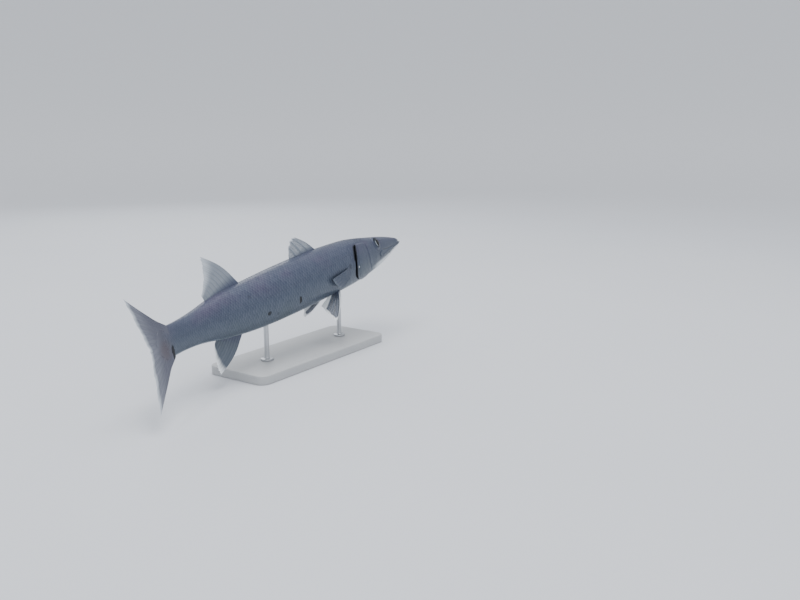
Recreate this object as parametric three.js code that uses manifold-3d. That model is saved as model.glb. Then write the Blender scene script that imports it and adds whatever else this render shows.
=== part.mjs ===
// A great barracuda, life size, as a still model on a plain display stand.
// Millimetres, Z up, the head toward +X. The origin is on the underside of the stand's base.
// Along the fish a place is told by its share of the body's length, 0 at the tip of the jaws
// and 1 at the root of the tail fin. Across it, y is to the fish's left and z toward its back.
import * as THREE from "three";
import { mergeVertices } from "three/addons/utils/BufferGeometryUtils.js";
import Module from "manifold-3d";

const wasm = await Module();
wasm.setup();

// Driving dimensions
const BODY_LENGTH = 780; // tip of the jaws to the root of the tail fin, along the body
const GAP = 0.3; // between two pieces that touch
const CENTRE_HEIGHT = 160; // middle of the body above the floor
const degrees = THREE.MathUtils.degToRad;
const NOSE_UP = degrees(7.9);
const BANK = degrees(12.2); // the left side lies lower

// How the body bends, in radians
const BODY_BEND = -0.133; // turn from the jaws to the tail fin's root, spread evenly
const TAIL_SWING = 0.481; // extra turn of the tail, which swings to the right
const TAIL_SWING_START = 0.65;
const TAIL_SWING_POWER = 1.5;
const TAIL_FIN_CURL = 1.86; // turn for each body length behind the tail fin's root
const BODY_ARCH = -0.0745; // rise and fall of the body's line
const HEAD_DROP = 0.062;
const HEAD_DROP_START = 0.35;

// Sections of the body: the back above its line, the belly below it and half the width,
// as shares of the body's length
const SECTIONS = [
  { at: 0.0, back: 0.001, belly: 0.017, half: 0.0085 }, // tip of the jaws
  { at: 0.05, back: 0.0152, belly: 0.0282, half: 0.0152 },
  { at: 0.1, back: 0.0278, belly: 0.043, half: 0.0232 },
  { at: 0.15, back: 0.0385, belly: 0.0535, half: 0.0315 }, // nostrils and eye
  { at: 0.2, back: 0.0482, belly: 0.0602, half: 0.0392 }, // cheek
  { at: 0.25, back: 0.0575, belly: 0.0652, half: 0.0452 },
  { at: 0.3, back: 0.0644, belly: 0.068, half: 0.0492 }, // gill cover
  { at: 0.43, back: 0.0712, belly: 0.0688, half: 0.0512 },
  { at: 0.57, back: 0.0702, belly: 0.069, half: 0.05 },
  { at: 0.7, back: 0.0628, belly: 0.0656, half: 0.0442 }, // second dorsal fin
  { at: 0.8, back: 0.0552, belly: 0.0545, half: 0.034 },
  { at: 0.88, back: 0.0417, belly: 0.0408, half: 0.024 },
  { at: 0.94, back: 0.0362, belly: 0.0362, half: 0.0155 }, // tail stalk
  { at: 1.0, back: 0.0355, belly: 0.036, half: 0.0082 },
  { at: 1.04, back: 0.037, belly: 0.0375, half: 0.004 },
];
// How square a section is: 1 is an ellipse, less is squarer. The top of the head is flat.
const SQUARE = { headTop: 0.78, headBelow: 1, trunk: 0.95 };
const TIP_ROUND = 0.026; // length over which a jaw's tip is rounded
const TIP_LEVEL = -0.008; // height of the jaws' tips
const UPPER_JAW_SETBACK = 0.011; // the lower jaw reaches past the upper one by this much

// Where the body is parted
const HEAD_END = 0.3;
const TRUNK_SPLIT = 0.54;
const STALK_START = 0.86;
const STALK_END = 1.0;
const BODY_SIDES = 32; // flats round the trunk
const HEAD_SIDES = 40;
const HEAD_RINGS = 20;
const TRUNK_FRONT_RINGS = 10;
const TRUNK_REAR_RINGS = 13;
const STALK_RINGS = 8;

// Mouth: its line runs back and down from the tip to a corner under the eye's front
const MOUTH_CORNER = 0.152;
const MOUTH_TIP_LEVEL = -0.0075;
const MOUTH_FALL = 0.11;
const MOUTH_CURVE = 1.2;
const JAW_HINGE = { at: 0.19, level: -0.046 }; // where the lower jaw ends under the cheek
const LIP = { radius: 1.7, sunk: 0.6, from: 0.02, short: 0.004, apart: 1.2 };

// Maxilla: the bony plate over the mouth, that widens to a round end under the eye
const MAXILLA = { from: 0.055, topEnd: 0.144, lowEnd: 0.158, topLevel: -0.0025, round: 0.016 };
const MAXILLA_PROUD = 1.8;
const MAXILLA_SUNK = 2.5;

// Eye and nostrils
const EYE = { at: 0.171, level: 0.0182, radius: 15.6, depth: 7.2, proud: 3 };
const EYE_RIM = { radius: 13.9, thick: 2, sunk: 0.7, follow: 0.28 };
const NOSTRILS = [
  { at: 0.1445, level: 0.0185, radius: 1.9 },
  { at: 0.137, level: 0.0172, radius: 1.3 },
];

// Gill cover: a plate from the cheek to a free edge over the gill slit
const COVER = { front: 0.225, back: 0.314, top: degrees(42), low: degrees(-76) };
const COVER_PROUD = 2.0; // how far its free edge stands off the flank
const COVER_DEPTH = 3.0; // how far it lies in under the skin
const COVER_TURN = 0.58; // share of its height, from above, where its free edge is hindmost
const COVER_CURVE = { above: 0.032, below: 0.06 }; // how far that edge curves forward
const COVER_SLANT = 0.03; // how far its front edge slants forward below
const COVER_POCKET_HIGH = 6; // how far the pocket that holds it reaches past the skin
const COVER_RIM = 0.006; // how much wider the pocket is all round, as a share of the cover
const COVER_SLIT = 4; // how many such rims the gill slit behind it is wide

// Fins, with lengths as shares of the body's length
const FIN_SINK = 7; // how far a root starts under the skin, before it is cut to the skin
const FIN_COLUMNS = 2; // from one ray to the next
const SPINY = { root: 5, web: 0.8, ridge: 2.6, tipRidge: 0.9 };
const SOFT = { root: 6, web: 0.9, ridge: 2.2, tipRidge: 0.8 };
const THIN = { root: 3.5, web: 0.8, ridge: 1.7, tipRidge: 0.7 };
const STRONG = { root: 12, web: 0.9, ridge: 2.4, tipRidge: 0.9 };
// The margin of a fin on the middle line runs from its front tip to its hind tip past one bend
// point, all told along and up from its front root
const FIRST_DORSAL = {
  at: 0.407, base: 0.106, rays: 5, bow: 0.004, hindBow: 0, thick: SPINY,
  margin: [[0.072, 0.05], [0.1, 0.054], [0.112, 0.004]],
};
const SECOND_DORSAL = {
  at: 0.708, base: 0.122, rays: 10, bow: 0.009, hindBow: 0, thick: SOFT,
  margin: [[0.098, 0.088], [0.098, 0.034], [0.13, 0.002]],
};
const ANAL = {
  at: 0.742, base: 0.08, rays: 9, bow: 0.009, hindBow: 0.004, thick: SOFT,
  margin: [[0.108, 0.065], [0.117, 0.028], [0.1, -0.004]],
};
const TAIL_FIN = { tip: 1.137, span: 0.122, fork: 1.083, rays: 9, upperSwell: 0.002, lowerSwell: 0.006 };
// The pectoral fins lie back along the flanks. Their angles are round the section.
const PECTORAL = { at: 0.328, slant: 0.004, length: 0.112, rays: 10, narrowing: 0.42 };
const PECTORAL_ROOT = { top: degrees(-4), low: degrees(-19), sunk: -4 };
const PECTORAL_TIP = { top: degrees(-11), low: degrees(-43), off: 7 };
const PELVIC = { at: 0.383, base: 0.016, rays: 6, bow: 0.005, corner: 0.35 };
const PELVIC_ROOT = { front: [0.02, 0.0585], hind: [0.011, 0.061] }; // out and below
// Three points of each pelvic fin's margin, as shares along, out and below: the first ray's
// tip, the corner and the last ray's tip. The two fins are spread unlike each other.
const PELVIC_MARGINS = {
  right: [[0.435, 0.047, 0.107], [0.461, 0.048, 0.127], [0.454, 0.004, 0.083]],
  left: [[0.45, 0.066, 0.084], [0.465, 0.058, 0.1065], [0.454, 0.006, 0.078]],
};

// Stand
const BASE = { length: 400, width: 150, height: 18, corner: 20, bevel: 2 };
const ROD_RADIUS = 5;
const ROD_FOOT = { radius: 13, height: 4, bevel: 1 };
const ROD_SIDES = 16;
const ROD_PLACES = [
  { name: "stand_rod_front", at: 0.335 },
  { name: "stand_rod_rear", at: 0.64 },
];

// A smooth curve through points [x, value], as a function of x
function through(points) {
  const slope = (i) => {
    const a = points[Math.max(i - 1, 0)];
    const b = points[Math.min(i + 1, points.length - 1)];
    return (b[1] - a[1]) / (b[0] - a[0]);
  };
  return (x) => {
    let i = 0;
    while (i < points.length - 2 && x > points[i + 1][0]) i += 1;
    const [x0, v0] = points[i];
    const [x1, v1] = points[i + 1];
    const t = THREE.MathUtils.clamp((x - x0) / (x1 - x0), 0, 1);
    const run = x1 - x0;
    const rise = v1 - v0;
    const bend = slope(i) * run * t * (1 - t) ** 2 - slope(i + 1) * run * t * t * (1 - t);
    return v0 + rise * t * t * (3 - 2 * t) + bend;
  };
}

const backAt = through(SECTIONS.map((s) => [s.at, s.back]));
const bellyAt = through(SECTIONS.map((s) => [s.at, s.belly]));
const halfAt = through(SECTIONS.map((s) => [s.at, s.half]));
const mix = THREE.MathUtils.lerp;
const clamp = THREE.MathUtils.clamp;
const smooth = THREE.MathUtils.smoothstep;

// The direction of the body's line at a place, toward the head
function heading(at) {
  const on = Math.min(at, 1);
  const swing = clamp((on - TAIL_SWING_START) / (1 - TAIL_SWING_START), 0, 1) ** TAIL_SWING_POWER;
  const yaw = BODY_BEND * (on - 0.5) + TAIL_SWING * swing + TAIL_FIN_CURL * Math.max(at - 1, 0);
  const drop = clamp((HEAD_DROP_START - at) / HEAD_DROP_START, 0, 1);
  const pitch = BODY_ARCH * (on - 0.5) - HEAD_DROP * drop;
  const flat = Math.cos(pitch);
  return new THREE.Vector3(Math.cos(yaw) * flat, Math.sin(yaw) * flat, Math.sin(pitch));
}

// The body's line, stepped off from its middle both ways
const LINE_STEPS = 240;
const LINE_LONG = 1.2;
const line = [new THREE.Vector3()];
for (let i = 1; i <= LINE_STEPS; i += 1) {
  const step = (BODY_LENGTH * LINE_LONG) / LINE_STEPS;
  const along = heading(((i - 0.5) * LINE_LONG) / LINE_STEPS);
  line.push(line[i - 1].clone().addScaledVector(along, -step));
}
const middle = line[Math.round((0.5 / LINE_LONG) * LINE_STEPS)].clone();
line.forEach((point) => point.sub(middle));

// The directions ahead, to the left and toward the back at a place along the body
function frameAt(at) {
  const ahead = heading(at);
  const left = new THREE.Vector3(0, 0, 1).cross(ahead).normalize();
  return { ahead, left, up: ahead.clone().cross(left) };
}

// A point from its place along the body and its millimetres to the left and toward the back
function place(at, toLeft, toBack) {
  const along = clamp((at / LINE_LONG) * LINE_STEPS, 0, LINE_STEPS - 1e-6);
  const i = Math.floor(along);
  const { ahead, left, up } = frameAt(at);
  const centre = line[i].clone().lerp(line[i + 1], along - i);
  centre.addScaledVector(ahead, -(at - clamp(at, 0, LINE_LONG)) * BODY_LENGTH);
  return centre.addScaledVector(left, toLeft).addScaledVector(up, toBack);
}

// A point on the skin: round the section by an angle, 0 at the left and a quarter turn at
// the back, standing off by a few millimetres. A jaw's tip starts at nose and is rounded.
function skin(at, angle, off = 0, nose = 0) {
  const across = Math.cos(angle);
  const upward = Math.sin(angle);
  const squareTop = mix(SQUARE.headTop, SQUARE.trunk, smooth(at, 0.16, 0.36));
  const square = upward > 0 ? squareTop : mix(SQUARE.headBelow, SQUARE.trunk, smooth(at, 0.1, 0.3));
  const tall = (upward > 0 ? backAt(at) : bellyAt(at)) * BODY_LENGTH + off;
  const wide = halfAt(at) * BODY_LENGTH + off;
  const near = clamp(1 - (at - nose) / TIP_ROUND, 0, 1);
  const shrink = Math.sqrt(1 - near * near);
  const level = TIP_LEVEL * BODY_LENGTH;
  const left = wide * Math.sign(across) * Math.abs(across) ** square;
  const up = tall * Math.sign(upward) * Math.abs(upward) ** square;
  return place(at, left * shrink, near > 0 ? level + (up - level) * shrink : up);
}

// The angle round the skin at which its side has a given height, right side of the fish
function angleAtHeight(at, level) {
  const tall = level > 0 ? backAt(at) : bellyAt(at);
  return Math.PI - Math.asin(clamp(level / tall, -1, 1));
}

function geometryOf(points, faces) {
  const geometry = new THREE.BufferGeometry();
  const numbers = points.flatMap((p) => [p.x, p.y, p.z]);
  geometry.setAttribute("position", new THREE.Float32BufferAttribute(numbers, 3));
  geometry.setIndex(faces.flat());
  return geometry;
}

// A closed body through rings of points, with a fan to a point at each end
function loft(rings, startPoint, endPoint) {
  const count = rings[0].length;
  const points = rings.flat();
  const faces = [];
  for (let i = 0; i < rings.length - 1; i += 1) {
    for (let j = 0; j < count; j += 1) {
      const a = i * count + j;
      const b = i * count + ((j + 1) % count);
      faces.push([a, a + count, b + count], [a, b + count, b]);
    }
  }
  const start = points.push(startPoint) - 1;
  const end = points.push(endPoint) - 1;
  const last = (rings.length - 1) * count;
  for (let j = 0; j < count; j += 1) {
    const next = (j + 1) % count;
    faces.push([start, j, next], [end, last + next, last + j]);
  }
  return geometryOf(points, faces);
}

// A closed plate between two grids of points, both split into triangles alike
function plate(front, back) {
  const rows = front.length;
  const columns = front[0].length;
  const size = rows * columns;
  const points = [...front.flat(), ...back.flat()];
  const faces = [];
  for (let i = 0; i < rows - 1; i += 1) {
    for (let j = 0; j < columns - 1; j += 1) {
      const a = i * columns + j;
      const c = a + columns;
      faces.push([a, c, c + 1], [a, c + 1, a + 1]);
      faces.push([size + a, size + c + 1, size + c], [size + a, size + a + 1, size + c + 1]);
    }
  }
  const rim = [];
  for (let j = 0; j < columns - 1; j += 1) rim.push(j);
  for (let i = 0; i < rows - 1; i += 1) rim.push(i * columns + columns - 1);
  for (let j = columns - 1; j > 0; j -= 1) rim.push((rows - 1) * columns + j);
  for (let i = rows - 1; i > 0; i -= 1) rim.push(i * columns);
  rim.forEach((a, k) => {
    const b = rim[(k + 1) % rim.length];
    faces.push([a, b, size + b], [a, size + b, size + a]);
  });
  return geometryOf(points, faces);
}

// Solids for joining and cutting
function solidOf(geometry) {
  const bare = geometry.clone();
  bare.deleteAttribute("normal");
  bare.deleteAttribute("uv");
  const merged = mergeVertices(bare, 1e-4);
  const mesh = new wasm.Mesh({
    numProp: 3,
    vertProperties: new Float32Array(merged.attributes.position.array),
    triVerts: new Uint32Array(merged.index.array),
  });
  const solid = new wasm.Manifold(mesh);
  return solid.volume() < 0 ? solidOf(turnedOut(merged)) : solid;
}

function turnedOut(geometry) {
  const index = Array.from(geometry.index.array);
  for (let i = 0; i < index.length; i += 3) [index[i], index[i + 1]] = [index[i + 1], index[i]];
  geometry.setIndex(index);
  return geometry;
}

function geometryOfSolid(solid) {
  const pieces = solid.decompose();
  const largest = pieces.reduce((a, b) => (a.volume() > b.volume() ? a : b));
  const mesh = largest.getMesh();
  const geometry = new THREE.BufferGeometry();
  geometry.setAttribute("position", new THREE.BufferAttribute(new Float32Array(mesh.vertProperties), 3));
  geometry.setIndex(new THREE.BufferAttribute(new Uint32Array(mesh.triVerts), 1));
  return geometry;
}

// Even steps from one value to another
function steps(from, to, count) {
  return Array.from({ length: count + 1 }, (_, i) => mix(from, to, i / count));
}

function ringAt(at, sides, off = 0, nose = 0) {
  const turn = (Math.PI * 2) / sides;
  return Array.from({ length: sides }, (_, k) => skin(at, k * turn, off, nose));
}

// A length of the body, flat at both ends
function bodyLength(from, to, rings, off = 0) {
  const places = steps(from, to, rings);
  return loft(places.map((at) => ringAt(at, BODY_SIDES, off)), place(from, 0, 0), place(to, 0, 0));
}

const GAP_SHARE = GAP / BODY_LENGTH;

// The skin of all the body, standing off by the gap, that fins and rods are cut to
function bodyCutter(from, to, rings) {
  return solidOf(bodyLength(from, to, rings, GAP));
}

// Head and jaw
function headLoft(nose) {
  const tip = [0.06, 0.22, 0.45, 0.72, 1].map((k) => nose + TIP_ROUND * k);
  const end = HEAD_END - GAP_SHARE / 2;
  const places = [...tip, ...steps(nose + TIP_ROUND * 1.5, end, HEAD_RINGS)];
  const rings = places.map((at) => ringAt(at, HEAD_SIDES, 0, nose));
  return solidOf(loft(rings, place(nose, 0, TIP_LEVEL * BODY_LENGTH), place(end, 0, 0)));
}

function mouthLevel(at) {
  const back = clamp(at / MOUTH_CORNER, 0, 1);
  return MOUTH_TIP_LEVEL - MOUTH_FALL * MOUTH_CORNER * back ** MOUTH_CURVE;
}

// The block that parts the lower jaw from the head, grown by a gap for the head's side
function jawBlock(grow) {
  const share = grow / BODY_LENGTH;
  const ahead = -0.03;
  const deep = -0.09;
  const wide = 120;
  const outline = new THREE.Shape();
  outline.moveTo(ahead, deep);
  outline.lineTo(JAW_HINGE.at + share, deep);
  outline.lineTo(JAW_HINGE.at + share, JAW_HINGE.level);
  steps(MOUTH_CORNER + share, ahead, 7).forEach((at) => outline.lineTo(at, mouthLevel(at) + share));
  const block = new THREE.ExtrudeGeometry(outline, { depth: wide, bevelEnabled: false });
  const spots = block.attributes.position;
  for (let i = 0; i < spots.count; i += 1) {
    const point = place(spots.getX(i), spots.getZ(i) - wide / 2, spots.getY(i) * BODY_LENGTH);
    spots.setXYZ(i, point.x, point.y, point.z);
  }
  return solidOf(block);
}

// A round bead along one side of the mouth, for a lip, that thins at both ends
function lip(side, way, nose) {
  const sides = 6;
  const rings = steps(0, 1, 11).map((share) => {
    const at = mix(nose + LIP.from, MOUTH_CORNER - LIP.short, share);
    const radius = LIP.radius * (1 - Math.abs(2 * share - 1) ** 6 * 0.8);
    const angle = angleAtHeight(at, mouthLevel(at) + (way * LIP.apart) / BODY_LENGTH);
    const spot = skin(at, side > 0 ? Math.PI - angle : angle, -LIP.sunk, nose);
    const { left, up } = frameAt(at);
    return Array.from({ length: sides }, (_, k) => {
      const turn = (k / sides) * Math.PI * 2;
      const out = left.clone().multiplyScalar(Math.cos(turn) * radius);
      return spot.clone().add(out).addScaledVector(up, Math.sin(turn) * radius);
    });
  });
  const centre = (ring) => ring.reduce((a, b) => a.add(b), new THREE.Vector3()).divideScalar(sides);
  return solidOf(loft(rings, centre(rings[0]), centre(rings.at(-1))));
}

// The maxilla of one side, a low plate on the skin just over the lip
function maxilla(side) {
  const grid = (off) => steps(0, 1, 5).map((v) => steps(0, 1, 8).map((u) => {
    const end = mix(MAXILLA.lowEnd, MAXILLA.topEnd, v) + MAXILLA.round * 4 * v * (1 - v);
    const at = mix(MAXILLA.from, end, u);
    const low = mouthLevel(at);
    const high = mix(low + 0.003, MAXILLA.topLevel, u ** 1.5);
    const angle = angleAtHeight(at, mix(low, high, v));
    return skin(at, side > 0 ? Math.PI - angle : angle, off > 0 ? off * smooth(u, 0, 0.5) : off);
  }));
  return solidOf(plate(grid(MAXILLA_PROUD), grid(-MAXILLA_SUNK)));
}

// A frame on the skin of the right or left side: its point, the way out and a turn to face it
function spotOnSide(at, level, side) {
  const angle = angleAtHeight(at, level);
  const on = side > 0 ? Math.PI - angle : angle;
  const point = skin(at, on);
  const round = skin(at, on + 0.02).sub(skin(at, on - 0.02));
  const along = skin(at + 0.004, on).sub(skin(at - 0.004, on));
  const out = along.cross(round).normalize();
  if (out.dot(frameAt(at).left) * side < 0) out.negate();
  const turn = new THREE.Quaternion().setFromUnitVectors(new THREE.Vector3(0, 0, 1), out);
  return { point, out, turn };
}

function eyeball(side, grow = 0) {
  const ball = new THREE.SphereGeometry(1, 24, 12);
  ball.rotateX(Math.PI / 2);
  ball.scale(EYE.radius + grow, EYE.radius + grow, EYE.depth + grow);
  const spot = spotOnSide(EYE.at, EYE.level, side);
  const centre = spot.point.addScaledVector(spot.out, EYE.proud - EYE.depth);
  ball.applyQuaternion(spot.turn);
  ball.translate(centre.x, centre.y, centre.z);
  return ball;
}

// The raised rim of skin round an eye, which bends part of the way to the side of the head
function eyeRim(side) {
  const rim = new THREE.TorusGeometry(EYE_RIM.radius, EYE_RIM.thick, 6, 24);
  const spot = spotOnSide(EYE.at, EYE.level, side);
  const { ahead, up } = frameAt(EYE.at);
  const spots = rim.attributes.position;
  for (let i = 0; i < spots.count; i += 1) {
    const step = new THREE.Vector3().fromBufferAttribute(spots, i).applyQuaternion(spot.turn);
    const at = EYE.at - step.dot(ahead) / BODY_LENGTH;
    const angle = angleAtHeight(at, EYE.level + step.dot(up) / BODY_LENGTH);
    const under = skin(at, side > 0 ? Math.PI - angle : angle).sub(spot.point);
    const fall = under.dot(spot.out) * EYE_RIM.follow - EYE_RIM.sunk;
    const point = spot.point.clone().add(step).addScaledVector(spot.out, fall);
    spots.setXYZ(i, point.x, point.y, point.z);
  }
  return solidOf(rim);
}

function nostril(side, hole) {
  const drill = new THREE.SphereGeometry(hole.radius, 8, 6);
  const spot = spotOnSide(hole.at, hole.level, side);
  drill.scale(1, 1, 1.6);
  drill.applyQuaternion(spot.turn);
  drill.translate(spot.point.x, spot.point.y, spot.point.z);
  return solidOf(drill);
}

// Gill cover, or with a gap the pocket that it lies in, which has the same flats and a rim more
function gillCover(side, gap = 0) {
  const shares = (count, rims) => {
    const inner = steps(0, 1, count);
    return gap > 0 ? [-COVER_RIM, ...inner, 1 + COVER_RIM * rims] : inner;
  };
  const grid = (offAt) => shares(9, 1).map((v) => shares(10, COVER_SLIT).map((u) => {
    const angle = mix(COVER.top, COVER.low, v);
    const down = clamp(v, 0, 1);
    const turned = (down - COVER_TURN) / (down < COVER_TURN ? COVER_TURN : 1 - COVER_TURN);
    const curve = down < COVER_TURN ? COVER_CURVE.above : COVER_CURVE.below;
    const back = COVER.back - curve * turned * turned;
    const front = COVER.front - COVER_SLANT * down * down;
    return skin(mix(front, back, u), side > 0 ? angle : Math.PI - angle, offAt(u));
  }));
  const outside = (u) => (gap > 0 ? COVER_POCKET_HIGH : COVER_PROUD * smooth(u, 0, 0.8));
  return solidOf(plate(grid(outside), grid(() => -COVER_DEPTH - gap)));
}

function head(jawSpace) {
  let solid = headLoft(UPPER_JAW_SETBACK);
  for (const side of [1, -1]) {
    solid = solid.add(lip(side, 1, UPPER_JAW_SETBACK)).add(maxilla(side)).add(eyeRim(side));
  }
  solid = solid.subtract(jawSpace);
  for (const side of [1, -1]) {
    solid = solid.subtract(solidOf(eyeball(side, GAP))).subtract(gillCover(side, GAP));
    for (const hole of NOSTRILS) solid = solid.subtract(nostril(side, hole));
  }
  return geometryOfSolid(solid);
}

function lowerJaw() {
  let solid = headLoft(0);
  for (const side of [1, -1]) solid = solid.add(lip(side, -1, 0));
  return geometryOfSolid(solid.intersect(jawBlock(0)));
}

function trunkFront() {
  const from = HEAD_END + GAP_SHARE / 2;
  let solid = solidOf(bodyLength(from, TRUNK_SPLIT - GAP_SHARE / 2, TRUNK_FRONT_RINGS));
  for (const side of [1, -1]) solid = solid.subtract(gillCover(side, GAP));
  return geometryOfSolid(solid);
}

// A fin or a lobe: a thin plate over a surface of two shares, across its rays and along them.
// A ray stands up as a ridge on both faces of the web and thins toward its tip.
function finSolid({ surface, rays, rows, root, web, ridge, tipRidge }) {
  const places = steps(0, 1, (rays - 1) * FIN_COLUMNS);
  const along = steps(0, 1, rows);
  const mid = along.map((v) => places.map((u) => surface(u, v)));
  const grid = (way) => mid.map((row, i) => row.map((point, j) => {
    const up = mid[Math.min(i + 1, rows)][j].clone().sub(mid[Math.max(i - 1, 0)][j]);
    const over = row[Math.min(j + 1, row.length - 1)].clone().sub(row[Math.max(j - 1, 0)]);
    const out = up.cross(over).normalize();
    const onRay = j % FIN_COLUMNS === 0 ? mix(ridge, tipRidge, along[i]) : web;
    const thick = mix(onRay, root, (1 - smooth(along[i], 0, 0.3)) ** 2);
    return point.clone().addScaledVector(out, (way * thick) / 2);
  }));
  return solidOf(plate(grid(1), grid(-1)));
}

// A fin on the middle line of the back or belly
function medianFin({ at, base, rays, bow, hindBow, margin, thick }, up) {
  const edge = new THREE.QuadraticBezierCurve(...margin.map(([x, y]) => new THREE.Vector2(x, y)));
  const rootLevel = (rootAt) => (up > 0 ? backAt(rootAt) : bellyAt(rootAt));
  const surface = (u, v) => {
    const rootAt = at + base * u;
    const end = edge.getPoint(u ** 1.25);
    const reach = mix(rootAt, at + end.x, v);
    const sink = FIN_SINK / BODY_LENGTH;
    const rise = mix(rootLevel(rootAt) - sink, rootLevel(at) + end.y, v);
    const bulge = Math.sin(Math.PI * v) * bow * (1 - u);
    const hindBulge = Math.sin(Math.PI * v) * hindBow * u;
    return place(reach - bulge + hindBulge, 0, up * (rise + bulge) * BODY_LENGTH);
  };
  const blade = finSolid({ surface, rays, rows: 6, ...thick });
  return geometryOfSolid(blade.subtract(bodyCutter(at - 0.03, at + base + 0.09, 10)));
}

// One lobe of the tail fin, from its outer edge to the fork
function tailLobe(up) {
  const { tip, span, fork, rays, upperSwell, lowerSwell } = TAIL_FIN;
  const root = STALK_END + GAP_SHARE;
  const surface = (u, v) => {
    const rootHigh = (up > 0 ? backAt(root) : bellyAt(root)) * (1 - u);
    const endAt = mix(tip, fork, u ** 0.9);
    const endHigh = mix(span, 0, u);
    const swell = Math.sin(Math.PI * v) * (1 - u) * (up > 0 ? upperSwell : lowerSwell);
    const high = mix(rootHigh, endHigh, v) + swell;
    return place(mix(root, endAt, v) - swell, 0, up * (high * BODY_LENGTH + GAP / 2));
  };
  return geometryOfSolid(finSolid({ surface, rays, rows: 8, ...STRONG }));
}

// A pectoral fin, folded back along the flank and standing a little off it at its tip
function pectoral(side) {
  const { at, slant, length, rays, narrowing } = PECTORAL;
  const surface = (u, v) => {
    const reach = length * (1 - narrowing * u ** 1.5);
    const rootAngle = mix(PECTORAL_ROOT.top, PECTORAL_ROOT.low, u);
    const angle = mix(rootAngle, mix(PECTORAL_TIP.top, PECTORAL_TIP.low, u), v);
    const off = mix(PECTORAL_ROOT.sunk, PECTORAL_TIP.off, smooth(v, 0, 0.5) * 0.6 + v * 0.4);
    return skin(at + slant * u + reach * v, side > 0 ? angle : Math.PI - angle, off);
  };
  const blade = finSolid({ surface, rays, rows: 5, ...THIN });
  return geometryOfSolid(blade.subtract(bodyCutter(at - 0.04, at + length + 0.05, 10)));
}

// A pelvic fin, spread down and out
function pelvic(side) {
  const { at, base, rays, bow, corner } = PELVIC;
  const { front, hind } = PELVIC_ROOT;
  const margin = PELVIC_MARGINS[side > 0 ? "left" : "right"];
  const tips = [0, 1, 2].map((k) => {
    const [first, bend, last] = margin.map((point) => point[k]);
    return through([[0, first], [corner, bend], [1, last]]);
  });
  const surface = (u, v) => {
    const root = [at + base * u, mix(front[0], hind[0], u), mix(front[1], hind[1], u)];
    const [along, out, down] = root.map((start, k) => mix(start, tips[k](u), v));
    const bulge = bow * Math.sin(Math.PI * v) * (1 - u);
    return place(along - bulge, side * (out + bulge) * BODY_LENGTH, -down * BODY_LENGTH);
  };
  const blade = finSolid({ surface, rays, rows: 5, ...THIN });
  return geometryOfSolid(blade.subtract(bodyCutter(at - 0.03, at + 0.12, 10)));
}

// Stand
function standBase() {
  const { length, width, height, corner, bevel } = BASE;
  const outline = new THREE.Shape();
  const x = length / 2 - bevel;
  const y = width / 2 - bevel;
  outline.moveTo(-x + corner, -y);
  outline.lineTo(x - corner, -y);
  outline.absarc(x - corner, -y + corner, corner, -Math.PI / 2, 0);
  outline.lineTo(x, y - corner);
  outline.absarc(x - corner, y - corner, corner, 0, Math.PI / 2);
  outline.lineTo(-x + corner, y);
  outline.absarc(-x + corner, y - corner, corner, Math.PI / 2, Math.PI);
  outline.lineTo(-x, -y + corner);
  outline.absarc(-x + corner, -y + corner, corner, Math.PI, Math.PI * 1.5);
  const slab = new THREE.ExtrudeGeometry(outline, {
    depth: height - 2 * bevel, bevelThickness: bevel, bevelSize: bevel, bevelSegments: 1, curveSegments: 6,
  });
  slab.translate(0, 0, bevel);
  return geometryOfSolid(solidOf(slab));
}

// A rod with a round foot, up to the belly and cut to it
function standRod(at, pose) {
  const inside = place(at, 0, 0).applyMatrix4(pose);
  const low = BASE.height + GAP;
  const footTop = low + ROD_FOOT.height;
  const profile = [
    [0, low], [ROD_FOOT.radius, low], [ROD_FOOT.radius, footTop - ROD_FOOT.bevel],
    [ROD_FOOT.radius - ROD_FOOT.bevel, footTop], [ROD_RADIUS, footTop],
    [ROD_RADIUS, inside.z], [0, inside.z],
  ];
  const rod = new THREE.LatheGeometry(profile.map(([r, z]) => new THREE.Vector2(r, z)), ROD_SIDES);
  rod.rotateX(Math.PI / 2);
  rod.translate(inside.x, inside.y, 0);
  const skinSolid = solidOf(bodyLength(at - 0.06, at + 0.06, 6, GAP).applyMatrix4(pose));
  return geometryOfSolid(solidOf(rod).subtract(skinSolid));
}

function finish(color, roughness, metalness = 0) {
  return new THREE.MeshStandardMaterial({ color, roughness, metalness });
}
const SKIN = finish(0x5d6c72, 0.35);
const PALE_SKIN = finish(0x9aa7a6, 0.35);
const FIN = finish(0x4c5a58, 0.45);
const EYE_FINISH = finish(0x11150f, 0.08);
const BASE_FINISH = finish(0xc9c8c4, 0.5);
const ROD_FINISH = finish(0xa8abad, 0.3, 1.0);

function add(group, name, geometry, material) {
  const mesh = new THREE.Mesh(geometry, material);
  mesh.name = name;
  group.add(mesh);
}

const fish = new THREE.Group();
fish.rotation.set(-BANK, -NOSE_UP, 0, "YXZ");
fish.position.set(0, 0, CENTRE_HEIGHT);
fish.updateMatrixWorld(true);

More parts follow.
